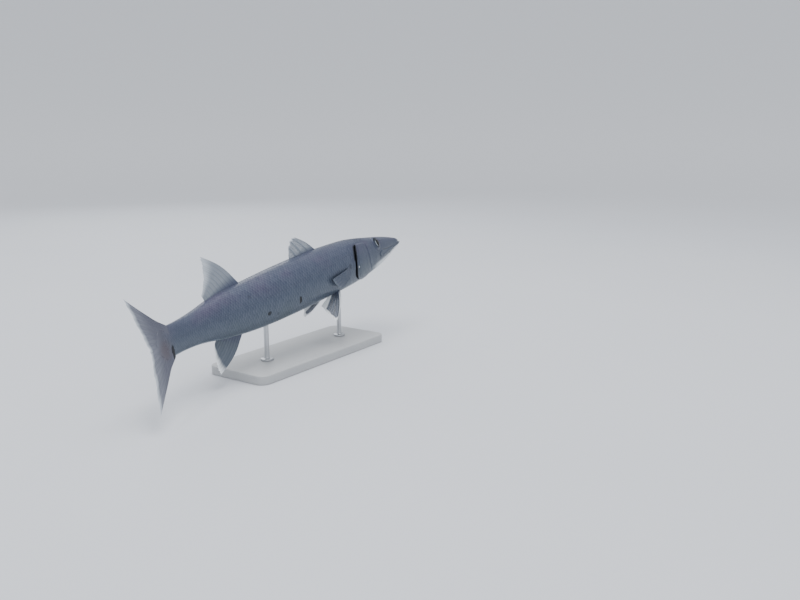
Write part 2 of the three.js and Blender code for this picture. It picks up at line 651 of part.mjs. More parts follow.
add(fish, "head", head(jawBlock(GAP)), SKIN);
add(fish, "lower_jaw", lowerJaw(), PALE_SKIN);
add(fish, "trunk_front", trunkFront(), SKIN);
const rearStart = TRUNK_SPLIT + GAP_SHARE / 2;
add(fish, "trunk_rear", bodyLength(rearStart, STALK_START - GAP_SHARE / 2, TRUNK_REAR_RINGS), SKIN);
add(fish, "tail_stalk", bodyLength(STALK_START + GAP_SHARE / 2, STALK_END, STALK_RINGS), SKIN);
for (const [name, side] of [["left", 1], ["right", -1]]) {
  add(fish, `eye_${name}`, geometryOfSolid(solidOf(eyeball(side))), EYE_FINISH);
  add(fish, `gill_cover_${name}`, geometryOfSolid(gillCover(side)), SKIN);
  add(fish, `pectoral_fin_${name}`, pectoral(side), FIN);
  add(fish, `pelvic_fin_${name}`, pelvic(side), FIN);
}
add(fish, "dorsal_fin_first", medianFin(FIRST_DORSAL, 1), FIN);
add(fish, "dorsal_fin_second", medianFin(SECOND_DORSAL, 1), FIN);
add(fish, "anal_fin", medianFin(ANAL, -1), FIN);
add(fish, "tail_fin_upper_lobe", tailLobe(1), FIN);
add(fish, "tail_fin_lower_lobe", tailLobe(-1), FIN);

const model = new THREE.Group();
model.add(fish);
add(model, "stand_base", standBase(), BASE_FINISH);
for (const { name, at } of ROD_PLACES) add(model, name, standRod(at, fish.matrixWorld), ROD_FINISH);

export default model;
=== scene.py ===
# %% [markdown]
# A great barracuda, life size, as a museum model on a display stand. It swims away to the upper
# right, seen from behind its right side, with its tail swung toward us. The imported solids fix
# every place and size. Here they are dressed: one skin over the whole body, scales and finer
# fins on it, glassy eyes, and a lacquered base with steel rods.

# %% Load the fixed frame
import math

import bmesh
import bpy
import numpy as np
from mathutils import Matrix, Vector


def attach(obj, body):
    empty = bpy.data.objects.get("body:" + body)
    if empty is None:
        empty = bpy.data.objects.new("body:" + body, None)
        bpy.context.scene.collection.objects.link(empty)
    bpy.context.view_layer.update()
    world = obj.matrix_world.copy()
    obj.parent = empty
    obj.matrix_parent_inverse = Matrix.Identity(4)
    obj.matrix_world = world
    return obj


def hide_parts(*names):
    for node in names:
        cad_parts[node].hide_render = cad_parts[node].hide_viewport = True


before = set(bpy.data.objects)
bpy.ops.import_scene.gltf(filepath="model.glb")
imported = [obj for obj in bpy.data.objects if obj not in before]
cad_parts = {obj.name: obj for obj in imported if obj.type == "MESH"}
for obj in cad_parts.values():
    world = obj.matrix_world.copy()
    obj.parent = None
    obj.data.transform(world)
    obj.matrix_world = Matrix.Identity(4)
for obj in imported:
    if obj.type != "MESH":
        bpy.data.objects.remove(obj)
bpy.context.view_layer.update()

# %% [markdown]
# Every shape below is a function on arrays, so the small tools come first: a blend of two
# values, soft steps and hills, and a smooth curve through a few points. The curve is the same
# cubic that gives the solids their outline, so skin and solids agree.

# %% Small tools for numbers
MM = 0.001


def mix(a, b, share):
    """A value between a and b: a where share is 0 and b where it is 1."""
    return a + (b - a) * share


def smooth(x, start, end):
    """0 before start, 1 after end and an S-shaped rise between."""
    t = np.clip((x - start) / (end - start), 0, 1)
    return t * t * (3 - 2 * t)


def within(x, start, full, fading, end):
    """0 before start, 1 from full to fading and 0 after end."""
    return smooth(x, start, full) * (1 - smooth(x, fading, end))


def bump(x, centre, width):
    """A soft hill of height 1 that is about twice the width across."""
    return np.exp(-(((x - centre) / width) ** 2))


def unit(vectors):
    """The same directions, each of length 1."""
    return vectors / np.linalg.norm(vectors, axis=-1, keepdims=True)


def full_turn(count):
    """Even angles all the way round."""
    return np.linspace(0, 2 * math.pi, count, endpoint=False)


def through(points):
    """A smooth curve through points [x, value]: a cubic with the neighbours' slopes."""
    x, value = np.array(points, float).T
    last = len(x) - 1
    ahead = np.minimum(np.arange(len(x)) + 1, last)
    behind = np.maximum(np.arange(len(x)) - 1, 0)
    slope = (value[ahead] - value[behind]) / (x[ahead] - x[behind])

    def curve(at):
        i = np.clip(np.searchsorted(x, at) - 1, 0, last - 1)
        run = x[i + 1] - x[i]
        t = np.clip((at - x[i]) / run, 0, 1)
        bend = run * t * (1 - t) * (slope[i] * (1 - t) - slope[i + 1] * t)
        return value[i] + (value[i + 1] - value[i]) * t * t * (3 - 2 * t) + bend

    return curve


# %% [markdown]
# A fish is measured along its bent middle line. A place is told by its share of the body's
# length, 0 at the tip of the jaws and 1 at the root of the tail fin, and by how far it is to
# the fish's left and toward its back. These sizes repeat the solids' own.

# %% The body's line and pose
BODY_LENGTH = 0.78
CENTRE_HEIGHT = 0.16
NOSE_UP = math.radians(7.9)
BANK = math.radians(12.2)
BODY_BEND = -0.133
TAIL_SWING = 0.481
TAIL_SWING_START = 0.65
TAIL_SWING_POWER = 1.5
TAIL_FIN_CURL = 1.86
BODY_ARCH = -0.0745
HEAD_DROP = 0.062
HEAD_DROP_START = 0.35
LINE_STEPS = 240
LINE_LONG = 1.2


def heading(at):
    """The direction toward the head: a turn to the side and a tilt that vary along the body."""
    on = np.minimum(at, 1)
    swing = np.clip((on - TAIL_SWING_START) / (1 - TAIL_SWING_START), 0, 1) ** TAIL_SWING_POWER
    yaw = BODY_BEND * (on - 0.5) + TAIL_SWING * swing + TAIL_FIN_CURL * np.maximum(at - 1, 0)
    drop = np.clip((HEAD_DROP_START - at) / HEAD_DROP_START, 0, 1)
    pitch = BODY_ARCH * (on - 0.5) - HEAD_DROP * drop
    level = np.cos(pitch)
    return np.stack([np.cos(yaw) * level, np.sin(yaw) * level, np.sin(pitch)], -1)


def stepped_line():
    """The body's line in equal steps, each along the heading at its middle."""
    middles = (np.arange(LINE_STEPS) + 0.5) * LINE_LONG / LINE_STEPS
    moves = -heading(middles) * BODY_LENGTH * LINE_LONG / LINE_STEPS
    points = np.vstack([np.zeros(3), np.cumsum(moves, 0)])
    return points - points[round(0.5 / LINE_LONG * LINE_STEPS)]


def pose_turn():
    """The turn that lifts the nose and then leans the fish to its left."""
    up, bank = -NOSE_UP, -BANK
    lift = [[math.cos(up), 0, math.sin(up)], [0, 1, 0], [-math.sin(up), 0, math.cos(up)]]
    lean = [[1, 0, 0], [0, math.cos(bank), -math.sin(bank)], [0, math.sin(bank), math.cos(bank)]]
    return np.array(lift) @ np.array(lean)


LINE = stepped_line()
POSE = pose_turn()


def axes(at):
    """Unit vectors ahead, to the left and toward the back, in the fish's own frame."""
    ahead = heading(at)
    left = unit(np.stack([-ahead[..., 1], ahead[..., 0], np.zeros(ahead.shape[:-1])], -1))
    return ahead, left, np.cross(ahead, left)


def place(at, to_left, to_back):
    """World points: the line's point, plus steps to the left and toward the back."""
    at, to_left, to_back = np.broadcast_arrays(at, to_left, to_back)
    along = np.clip(at / LINE_LONG * LINE_STEPS, 0, LINE_STEPS - 1e-6)
    i = along.astype(int)
    part = (along - i)[..., None]
    ahead, left, up = axes(at)
    centre = LINE[i] * (1 - part) + LINE[i + 1] * part
    centre = centre - ahead * ((at - np.clip(at, 0, LINE_LONG)) * BODY_LENGTH)[..., None]
    own = centre + left * to_left[..., None] + up * to_back[..., None]
    return own @ POSE.T + [0, 0, CENTRE_HEIGHT]


print("middle of the body", place(0.5, 0, 0).round(3), "tip of the jaws", place(0, 0, 0).round(3))

# %% [markdown]
# Across the line the body is an oval whose height above the line, depth below it and half
# width change along the fish. On the head the upper half is squarer, which gives the flat
# crown. Each jaw's tip is rounded over a short length, and the upper jaw starts further back
# than the lower one. The last sections taper into the tail fin.

# %% Sections of the body
BACK = [[0, 0.001], [0.05, 0.0152], [0.1, 0.0278], [0.15, 0.0385], [0.2, 0.0482], [0.25, 0.0575],
        [0.3, 0.0644], [0.43, 0.0712], [0.57, 0.0702], [0.7, 0.0628], [0.8, 0.0552],
        [0.88, 0.0417], [0.94, 0.0362], [1, 0.0355], [1.04, 0.037]]
BELLY = [[0, 0.017], [0.05, 0.0282], [0.1, 0.043], [0.15, 0.0535], [0.2, 0.0602], [0.25, 0.0652],
         [0.3, 0.068], [0.43, 0.0688], [0.57, 0.069], [0.7, 0.0656], [0.8, 0.0545],
         [0.88, 0.0408], [0.94, 0.0362], [1, 0.036], [1.04, 0.0375]]
HALF_WIDTH = [[0, 0.0085], [0.05, 0.0152], [0.1, 0.0232], [0.15, 0.0315], [0.2, 0.0392],
              [0.25, 0.0452], [0.3, 0.0492], [0.43, 0.0512], [0.57, 0.05], [0.7, 0.0442],
              [0.8, 0.034], [0.88, 0.024], [0.94, 0.0155], [1, 0.0082], [1.02, 0.0042],
              [1.05, 0.001]]
back_at = through(BACK)
belly_at = through(BELLY)
half_at = through(HALF_WIDTH)
SQUARE_HEAD_TOP = 0.78
SQUARE_TRUNK = 0.95
TIP_ROUND = 0.026
TIP_LEVEL = -0.008
UPPER_JAW_SETBACK = 0.011
SKIN_DEPTH = 0.9 * MM  # the skin lies this far inside the solids, which the scales fill
# The skin's slope is taken over these steps round it and along it
SMALL_TURN = 0.02
SMALL_STEP = 0.004


def tall_at(at, angle):
    """Height above or depth below the line, as a share of the body's length."""
    return np.where(np.sin(angle) > 0, back_at(at), belly_at(at))


def section(at, angle, off=0.0, nose=0.0):
    """Steps to the left and toward the back for an angle round the section, 0 at the left and
    a quarter turn at the back: an oval whose halves may be squarer, shrunk at a jaw's tip."""
    across, upward = np.cos(angle), np.sin(angle)
    square_top = mix(SQUARE_HEAD_TOP, SQUARE_TRUNK, smooth(at, 0.16, 0.36))
    square_low = mix(1, SQUARE_TRUNK, smooth(at, 0.1, 0.3))
    square = np.where(upward > 0, square_top, square_low)
    tall = tall_at(at, angle) * BODY_LENGTH + off
    wide = half_at(at) * BODY_LENGTH + off
    near = np.clip(1 - (at - nose) / TIP_ROUND, 0, 1)
    shrink = np.sqrt(1 - near * near)
    level = TIP_LEVEL * BODY_LENGTH
    left = wide * np.sign(across) * np.abs(across) ** square * shrink
    up = tall * np.sign(upward) * np.abs(upward) ** square
    return left, np.where(near > 0, level + (up - level) * shrink, up)


def on_body(at, angle, off=0.0, nose=0.0):
    """World points on the body's smooth form, standing off it by a few millimetres."""
    at, angle, off = np.broadcast_arrays(at, angle, off)
    return place(at, *section(at, angle, off, nose))


def side_angle(at, level, side):
    """The angle at which a side has a height, told as a share of the body's length."""
    tall = np.where(np.asarray(level) > 0, back_at(at), belly_at(at))
    turn = np.arcsin(np.clip(level / tall, -1, 1))
    return turn if side > 0 else np.pi - turn


def spot_on_side(at, level, side):
    """A point on one side and the way out of the skin there."""
    angle = side_angle(at, level, side)
    round_it = on_body(at, angle + SMALL_TURN) - on_body(at, angle - SMALL_TURN)
    along = on_body(at + SMALL_STEP, angle) - on_body(at - SMALL_STEP, angle)
    out = unit(np.cross(along, round_it))
    left = axes(np.asarray(at))[1] @ POSE.T
    return on_body(at, angle), out if out @ left * side > 0 else -out


# %% [markdown]
# Pieces go into Blender as whole arrays. A grid of points becomes quads, either open or closed
# round one way. Each point also keeps where it lies on the fish, in an attribute called body:
# its share of the length, its height as such a share, and the sine of its angle round the
# section. Its cosine is kept as side, 1 on the left and -1 on the right. The markings are
# painted with those numbers, so skin and scales carry one pattern.

# %% Arrays into meshes
def grid_faces(rows, columns, closed=False):
    """Quads between the points of a grid, with the last column joined to the first if closed."""
    i, j = np.meshgrid(np.arange(rows - 1), np.arange(columns if closed else columns - 1), indexing="ij")
    a = i * columns + j
    b = i * columns + (j + 1) % columns
    return np.stack([a, b, b + columns, a + columns], -1).reshape(-1, 4)


def one_row(values):
    """All numbers of an array in one row, as Blender takes them."""
    return np.ascontiguousarray(values, np.float32).ravel()


def mesh_of(name, points, faces, **facts):
    """A mesh from any grid of points and their faces. A fact has one number or three a point."""
    mesh = bpy.data.meshes.new(name)
    mesh.vertices.add(points.size // 3)
    mesh.vertices.foreach_set("co", one_row(points))
    mesh.loops.add(faces.size)
    mesh.loops.foreach_set("vertex_index", faces.astype(np.int32).ravel())
    mesh.polygons.add(len(faces))
    mesh.polygons.foreach_set("loop_start", np.arange(0, faces.size, faces.shape[1], dtype=np.int32))
    for fact, values in facts.items():
        three = values.size == points.size
        layer = mesh.attributes.new(fact, "FLOAT_VECTOR" if three else "FLOAT", "POINT")
        layer.data.foreach_set("vector" if three else "value", one_row(values))
    mesh.update(calc_edges=True)
    return mesh


def closed_up(mesh):
    """Merge doubles, drop faces with no area and turn all faces outward."""
    shape = bmesh.new()
    shape.from_mesh(mesh)
    bmesh.ops.remove_doubles(shape, verts=shape.verts, dist=1e-6)
    bmesh.ops.dissolve_degenerate(shape, edges=shape.edges, dist=1e-7)
    bmesh.ops.recalc_face_normals(shape, faces=shape.faces)
    shape.to_mesh(mesh)
    shape.free()


def add_piece(mesh, material, slot, *nodes, sharp=None):
    """Put a finished mesh in the scene: it rides on the body and takes its nodes' place."""
    piece = bpy.data.objects.new(mesh.name, mesh)
    bpy.context.scene.collection.objects.link(piece)
    mesh.materials.append(material)
    mesh.shade_smooth()
    if sharp is not None:
        mesh.set_sharp_from_angle(angle=math.radians(sharp))
    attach(piece, "root")
    if nodes:
        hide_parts(*nodes)
    open_edges = int((np.bincount(edge_use(mesh)) != 2).sum()) if len(mesh.polygons) else 0
    print(mesh.name, "faces", len(mesh.polygons), "edges not shared by two", open_edges)
    return piece


def edge_use(mesh):
    """The edge of every face corner, whose counts tell whether the mesh is closed."""
    use = np.empty(len(mesh.loops), np.int32)
    mesh.loops.foreach_get("edge_index", use)
    return use


# %% [markdown]
# Shader maths reads better as sums than as boxes. One class wraps a socket, so that + - * /
# make Math nodes, and its node method makes any other node. Colours are mixed by a Mix node,
# because a Math node would turn them grey. A few helpers after it make the nodes that every
# finish here needs: noise, what the mesh keeps of its points, mixed colours and fine relief.

# %% Shader sums
class Sum:
    """A socket of a node tree that takes part in Python sums."""

    def __init__(self, tree, socket):
        self.tree = tree
        self.socket = socket

    def node(self, kind, settings=None, inputs=None, output=0):
        """Make a node: its settings first, then its sockets by name or number."""
        made = self.tree.nodes.new(kind)
        for name, value in (settings or {}).items():
            if name == "stops":
                set_ramp(made.color_ramp, value)
            else:
                setattr(made, name, value)
        for name, value in (inputs or {}).items():
            if isinstance(value, Sum):
                self.tree.links.new(value.socket, made.inputs[name])
            else:
                made.inputs[name].default_value = value
        return Sum(self.tree, made.outputs[output])

    def math(self, operation, *others):
        """A Math node with this value first."""
        return self.node("ShaderNodeMath", {"operation": operation}, dict(enumerate([self, *others])))

    def vector(self, operation, *others):
        """A Vector Math node with this vector first, for an operation that gives one number."""
        values = dict(enumerate([self, *others]))
        return self.node("ShaderNodeVectorMath", {"operation": operation}, values, output=1)

    def __add__(self, other):
        return self.math("ADD", other)

    def __sub__(self, other):
        return self.math("SUBTRACT", other)

    def __rsub__(self, other):
        return self.node("ShaderNodeMath", {"operation": "SUBTRACT"}, {0: other, 1: self})

    def __mul__(self, other):
        return self.math("MULTIPLY", other)

    def __truediv__(self, other):
        return self.math("DIVIDE", other)

    __radd__ = __add__
    __rmul__ = __mul__

    def smooth(self, start, end):
        """0 before start, 1 after end and an S between, for either order of the two."""
        low, high = min(start, end), max(start, end)
        values = {"Value": self, "From Min": low, "From Max": high}
        rise = self.node("ShaderNodeMapRange", {"interpolation_type": "SMOOTHSTEP"}, values)
        return rise if start < end else 1 - rise

    def bump(self, centre, width):
        """A soft hill, one at the centre and nothing further than the width from it."""
        return (self - centre).math("ABSOLUTE").smooth(width, 0)


def set_ramp(ramp, stops):
    """Give a colour ramp its stops: places and colours."""
    while len(ramp.elements) > 1:
        ramp.elements.remove(ramp.elements[-1])
    ramp.elements[0].position = stops[0][0]
    ramp.elements[0].color = stops[0][1]
    for position, colour in stops[1:]:
        ramp.elements.new(position).color = colour


def srgb(red, green, blue):
    """A colour told in the 0 to 255 numbers of a screen, as the linear one that light needs."""
    def linear(value):
        value /= 255
        return value / 12.92 if value <= 0.04045 else ((value + 0.055) / 1.055) ** 2.4
    return (linear(red), linear(green), linear(blue), 1.0)


def new_material(name, **constants):
    """A material with its Principled shader's constant sockets set, and the place of each point
    in the piece's own coordinates, from which all its patterns are made."""
    material = bpy.data.materials.new(name)
    material.use_nodes = True
    tree = material.node_tree
    shader = tree.nodes["Principled BSDF"]
    for socket, value in constants.items():
        shader.inputs[socket.replace("_", " ")].default_value = value
    return material, Sum(tree, shader.outputs[0]).node("ShaderNodeTexCoord", output="Object")


def feed(material, socket, value):
    """Link a sum to one of the Principled shader's sockets."""
    shader = material.node_tree.nodes["Principled BSDF"]
    material.node_tree.links.new(value.socket, shader.inputs[socket])


def emboss(material, height, distance, strength):
    """Fine relief in the shading alone, from heights of 0 to 1 that stand for a distance."""
    values = {"Height": height, "Distance": distance, "Strength": strength}
    feed(material, "Normal", height.node("ShaderNodeBump", {}, values))


def mixed(share, colour_a, colour_b):
    """A colour from a to b by a share, where either may be a link."""
    values = {0: share, 6: colour_a, 7: colour_b}
    return share.node("ShaderNodeMix", {"data_type": "RGBA"}, values, output=2)


def fact(spot, name, three=False):
    """What the mesh keeps of each point, as a sum, or as three."""
    kept = spot.node("ShaderNodeAttribute", {"attribute_name": name}, output=1 if three else 2)
    if not three:
        return kept
    return [kept.node("ShaderNodeSeparateXYZ", {}, {0: kept}, output=i) for i in range(3)]


def noise(spot, scale, detail=3, roughness=0.5, stretch=None):
    """Soft cloudy values from 0 to 1, on the piece's own coordinates."""
    where = spot
    if stretch is not None:
        where = spot.node("ShaderNodeMapping", {}, {"Vector": spot, "Scale": stretch})
    values = {"Vector": where, "Scale": scale, "Detail": detail, "Roughness": roughness}
    return where.node("ShaderNodeTexNoise", {}, values)


# %% [markdown]
# The skin is one surface from the jaws to the tail fin. Its first number runs along the fish
# and its second from the back down one side to the belly, mirrored for the other side. The
# columns bend along the mouth and the rows bend along the gill cover's free edge, so that both
# can be real folds in the mesh and not paint.

# %% Where the mouth and the gill cover's edge run
MOUTH_CORNER = 0.152
MOUTH_TIP_LEVEL = -0.0075
MOUTH_FALL = 0.11
MOUTH_CURVE = 1.2
MOUTH_TURN_BEHIND = 0.42  # sine of the angle at which the mouth's columns run on to the tail
COVER_BACK = 0.314
COVER_TOP = math.radians(42)
COVER_LOW = math.radians(-76)
COVER_TURN = 0.58
COVER_CURVE_ABOVE = 0.032
COVER_CURVE_BELOW = 0.06
COVER_ROW = 0.3  # the straight row that is bent to follow the cover's edge


def mouth_level(at):
    """Height of the mouth's line, which runs back and down from the tip to the corner."""
    back = np.clip(at / MOUTH_CORNER, 0, 1)
    return MOUTH_TIP_LEVEL - MOUTH_FALL * MOUTH_CORNER * back ** MOUTH_CURVE


def mouth_sine(at):
    """Sine of the mouth line's angle below the side, which runs on evenly behind its corner."""
    at = np.asarray(at, float)
    sine = -mouth_level(at) / belly_at(at)
    return mix(sine, MOUTH_TURN_BEHIND, smooth(at, MOUTH_CORNER - 0.02, 0.26))


def cover_edge(angle):
    """Place of the gill cover's free edge for an angle on the left side."""
    down = np.clip((COVER_TOP - angle) / (COVER_TOP - COVER_LOW), 0, 1)
    turned = (down - COVER_TURN) / np.where(down < COVER_TURN, COVER_TURN, 1 - COVER_TURN)
    curve = np.where(down < COVER_TURN, COVER_CURVE_ABOVE, COVER_CURVE_BELOW)
    return COVER_BACK - curve * turned * turned


# %% [markdown]
# The rows stand closer where there is more to show: a millimetre apart on the snout, less at
# the eye and mouth corner, and seven on the plain flanks. The gill cover's fold is a path of
# its own: out over the edge, forward underneath it, and back along the body to the flank.

# %% Rows, columns and the gill fold
FOLD = np.array([
    [-1.4, 2.0], [-0.6, 1.95], [-0.15, 1.7], [0.0, 1.3], [-0.15, 0.9], [-0.9, 0.6], [-2.4, 0.2],
    [-3.8, -0.5], [-4.1, -1.2], [-3.1, -1.9], [-1.3, -2.2], [0.3, -2.0], [1.6, -1.35], [2.9, -0.5],
    [4.4, 0.0],
]) * MM  # steps along the body and off the skin
COVER_LIP = 3  # this many of those steps lie on the cover's outer face
COVER_PROUD = 2.0 * MM
COVER_SWELL = [0.225, 0.285]  # from here to there the cover comes to stand proud
NOSE_CUT = 0.00003  # the skin ends this far behind the tip of the solids
# Spans of rows ahead of the fold and behind it: from, to and millimetres apart
ROWS_AHEAD = [[0, 0.118, 1.05], [0.118, 0.2, 0.68], [0.2, COVER_ROW - 0.003, 1.2]]
ROWS_BEHIND = [[COVER_ROW + 0.008, 0.36, 1.8], [0.36, 0.97, 7]]
STALK_ROWS = [0.972, 1.05, 22]  # from, to and how many


def tip_rows(nose):
    """Places of the close rows that round a jaw's tip."""
    return nose + TIP_ROUND * np.array([0.004, 0.012, 0.025, 0.045, 0.07])


def even_rows(spans):
    """Places of rows that are evenly spaced within each span."""
    return [np.arange(start, end, apart * MM / BODY_LENGTH) for start, end, apart in spans]


def rows_along():
    """Places of the rows, their steps along where the skin lies flat and where it is folded,
    and how far the cover stands off there."""
    tips = [tip_rows(0), tip_rows(UPPER_JAW_SETBACK)]
    ahead = np.unique(np.concatenate(even_rows(ROWS_AHEAD) + tips))
    ahead[0] = NOSE_CUT
    behind = even_rows(ROWS_BEHIND) + [np.linspace(*STALK_ROWS)]
    at = np.concatenate([ahead, np.full(len(FOLD), COVER_ROW), *behind])
    fold = slice(len(ahead), len(ahead) + len(FOLD))
    flat, folded = np.zeros(len(at)), np.zeros(len(at))
    flat[fold] = np.linspace(FOLD[0, 0], FOLD[-1, 0], len(FOLD))
    folded[fold] = FOLD[:, 0]
    off = smooth(at, *COVER_SWELL) * COVER_PROUD
    off[fold] = FOLD[:, 1]
    off[fold.stop:] = 0
    return at, flat, folded, off, fold


UPPER_COLUMNS = 62
SLIT_COLUMNS = 8
LOWER_COLUMNS = 52
SLIT_HALF_GAP = 0.0003  # half the mouth's opening, as a share of the body's length
SLIT_DEPTH = 4 * MM
SLIT_LEAST = 0.4 * MM  # the mouth's two slits stay this far off the middle
# The head's furrows are painted darker as shade, in full from this depth
FURROW_SHADE_DEPTH = 1.2 * MM
# How far the painted shade reaches behind the gill slit: high on the side, in the middle and low down
SLIT_SHADE_REACH = [10 * MM, 3.2 * MM, 7.5 * MM]
RIM_SHADE_SHARE = 0.45  # how far the painted shade runs onto the cover's own rim, as a share of that


def half_turns(at):
    """For each row the angles down from the back: even to the mouth, even again to the belly."""
    sine = mouth_sine(at)[:, None]
    gap = SLIT_HALF_GAP / belly_at(at)[:, None]
    upper_lip = math.pi / 2 + np.arcsin(sine - gap)
    lower_lip = math.pi / 2 + np.arcsin(sine + gap)
    above = np.linspace(0, 1, UPPER_COLUMNS + 1)[None] * upper_lip
    across = upper_lip + (lower_lip - upper_lip) * np.linspace(0, 1, SLIT_COLUMNS + 1)[None, 1:-1]
    below = lower_lip + (math.pi - lower_lip) * np.linspace(0, 1, LOWER_COLUMNS + 1)[None]
    return np.concatenate([above, across, below], 1)


# %% [markdown]
# Relief is what gives the head its life: full lips, the bony plate of the upper jaw that ends
# under the eye, the hollow that the eye sits in, nostrils, the cheek's free edge, the ridged
# crown and the folds of the throat. Each is a few soft hills and steps in millimetres, worked
# out from the place on the fish.

# %% Relief of the head
EYE_AT = 0.171
EYE_LEVEL = 0.0182
EYE_HOLLOW = 12.9 * MM
HOLLOW_DEEP = 6.5 * MM
NOSTRILS = [[0.1445, 0.0185, 1.9 * MM], [0.137, 0.0172, 1.3 * MM]]
MAXILLA_FROM = 0.055
MAXILLA_TOP_LEVEL = -0.0025
PORES_PER_BODY = 88  # pores under the lip, if their row ran on to the tail


def lips(at, level):
    """Two full beads, one over and one under the mouth's line, that end at its corner, with a
    furrow and a row of pores below the lower one."""
    from_line = (level - mouth_level(at)) * BODY_LENGTH / MM
    upper = bump(from_line, 1.6, 1.3) * within(at, 0.012, 0.03, 0.142, 0.156)
    lower = bump(from_line, -2.2, 1.9) * within(at, 0.001, 0.02, 0.142, 0.156)
    furrow = bump(from_line, -5.6, 1.2) * smooth(at, 0.03, 0.06)
    pore = (0.5 + 0.5 * np.cos(at * PORES_PER_BODY * 2 * math.pi)) ** 5
    sunk = 0.55 * furrow + 0.3 * bump(from_line, -9.5, 1.3) * pore
    return (1.0 * upper + 1.4 * lower - sunk * (1 - smooth(at, 0.13, 0.16))) * MM


def mouth_corner_folds(at, level):
    """Two small folds of skin that curve round the mouth's corner from behind."""
    behind = (at - MOUTH_CORNER) * BODY_LENGTH / MM
    above = (level - mouth_level(MOUTH_CORNER)) * BODY_LENGTH / MM
    away = np.hypot(behind, above * 0.8)
    folds = bump(away, 10, 1.2) + 0.7 * bump(away, 14.5, 1.3)
    return -0.5 * folds * smooth(behind, 2, 6) * within(above, -11, -5, 3, 8) * MM


def snout_lines(at, angle):
    """Fine lines that run back from the snout's tip and waver a little."""
    lines = np.sin(angle * 36 + 1.5 * np.sin(at * 70)) * smooth(np.sin(angle), -0.1, 0.2)
    return 0.07 * lines * within(at, 0.03, 0.06, 0.12, 0.15) * MM


def maxilla_inside(at, level):
    """Millimetres inside the edge of the upper jaw's plate, which is round behind."""
    low = mouth_level(at)
    along = np.clip((at - MAXILLA_FROM) / (0.16 - MAXILLA_FROM), 0, 1)
    top = mix(low + 0.003, MAXILLA_TOP_LEVEL, along ** 1.5)
    share = np.clip((level - low) / (top - low), 0, 1)
    end = mix(0.158, 0.144, share) + 0.064 * share * (1 - share)
    from_top = (top - level) * BODY_LENGTH / MM
    from_end = (end - at) * BODY_LENGTH / MM
    return np.minimum(from_top, from_end)


def maxilla(at, level):
    """A plate that stands up over its edge, with a furrow all round it."""
    inside = maxilla_inside(at, level)
    lengthwise = smooth(at, MAXILLA_FROM, 0.1)
    above_lip = smooth((level - mouth_level(at)) * BODY_LENGTH / MM, -1.5, 0.5)
    plate = 1.2 * smooth(inside, -0.4, 2.0) - 0.85 * bump(inside, -1.1, 1.4)
    return plate * lengthwise * above_lip * smooth(inside, -5, -3) * MM


def eye_hollow(points):
    """A dip under each eye and a low swelling round it, by the distance from the eye."""
    relief = np.zeros(points.shape[:-1])
    for side in (1, -1):
        centre, _ = spot_on_side(EYE_AT, EYE_LEVEL, side)
        away = np.linalg.norm(points - centre, axis=-1)
        relief -= HOLLOW_DEEP * (1 - smooth(away, EYE_HOLLOW - 2.6 * MM, EYE_HOLLOW))
        relief += 0.7 * MM * bump(away, EYE_HOLLOW + 2.2 * MM, 2.4 * MM)
        relief -= 0.35 * MM * bump(away, EYE_HOLLOW + 6 * MM, 1.6 * MM)
    return relief


def nostrils(points):
    """Two small pits with raised rims ahead of each eye."""
    relief = np.zeros(points.shape[:-1])
    for side in (1, -1):
        for at, level, radius in NOSTRILS:
            centre, _ = spot_on_side(at, level, side)
            away = np.linalg.norm(points - centre, axis=-1)
            relief -= 1.8 * MM * (1 - smooth(away, radius * 0.45, radius * 1.15))
            relief += 0.35 * MM * bump(away, radius * 1.5, radius * 0.5)
    return relief


def cheek_edge(level):
    """Place of the cheek plate's free edge, which runs forward low down."""
    return 0.236 - 0.5 * np.clip(-0.022 - level, 0, 0.04)


def cheek(at, level):
    """The step at the cheek plate's free edge, and a second low one on the gill cover."""
    past = (at - cheek_edge(level)) * BODY_LENGTH / MM
    steps = 0.75 * within(past, -14, -1, -0.8, 0.6) + 0.4 * within(past, 2, 12, 12.5, 14)
    return steps * within(level, -0.056, -0.046, 0.02, 0.034) * MM


def crown(at, to_left, angle):
    """Low ridges that run back over the flat crown, a shallow trough between them and the brow."""
    across = np.abs(to_left) / MM
    on_top = smooth(np.sin(angle), 0.45, 0.75) * within(at, 0.03, 0.07, 0.2, 0.27)
    spread = mix(2.5, 9, smooth(at, 0.04, 0.2))
    ridges = 0.55 * bump(across, spread, 1.8) + 0.35 * bump(across, spread + 4.2, 1.3)
    return (ridges - 0.5 * bump(across, 0, 2.2)) * on_top * MM


def throat(at, to_left, angle):
    """Furrows under the head: one along the middle, and two that run back to the gill slits."""
    across = np.abs(to_left) / MM
    below = smooth(-np.sin(angle), 0.6, 0.85)
    middle = bump(across, 0, 1.1) * within(at, 0.02, 0.06, 0.1, 0.14)
    open_out = mix(0.6, 15, smooth(at, 0.1, 0.25))
    gills = bump(across, open_out, 1.3) * within(at, 0.1, 0.13, 0.24, 0.262)
    folds = np.sin(across * 1.9) * smooth(across, open_out, open_out + 3)
    folds = folds * within(at, 0.13, 0.18, 0.22, 0.26)
    return (0.25 * folds - 0.7 * middle - 1.3 * gills) * below * MM


def relief_of_head(at, angle, points, to_left):
    """All of the head's relief together, in metres off the smooth form."""
    level = tall_at(at, angle) * np.sin(angle)
    shapes = lips(at, level) + maxilla(at, level) + cheek(at, level)
    shapes = shapes + mouth_corner_folds(at, level) + snout_lines(at, angle)
    shapes = shapes + crown(at, to_left, angle) + throat(at, to_left, angle)
    return (shapes + eye_hollow(points) + nostrils(points)) * (1 - smooth(at, 0.27, 0.3))


# %% [markdown]
# Now the grid is filled. The upper jaw's columns start at its own tip, so ahead of it they all
# meet in one line, on the flat top of the longer lower jaw. The mouth's columns sink in
# between the lips. At the tail the skin thins to an edge inside the fin.

# %% The skin's points
END_BOW = 0.62


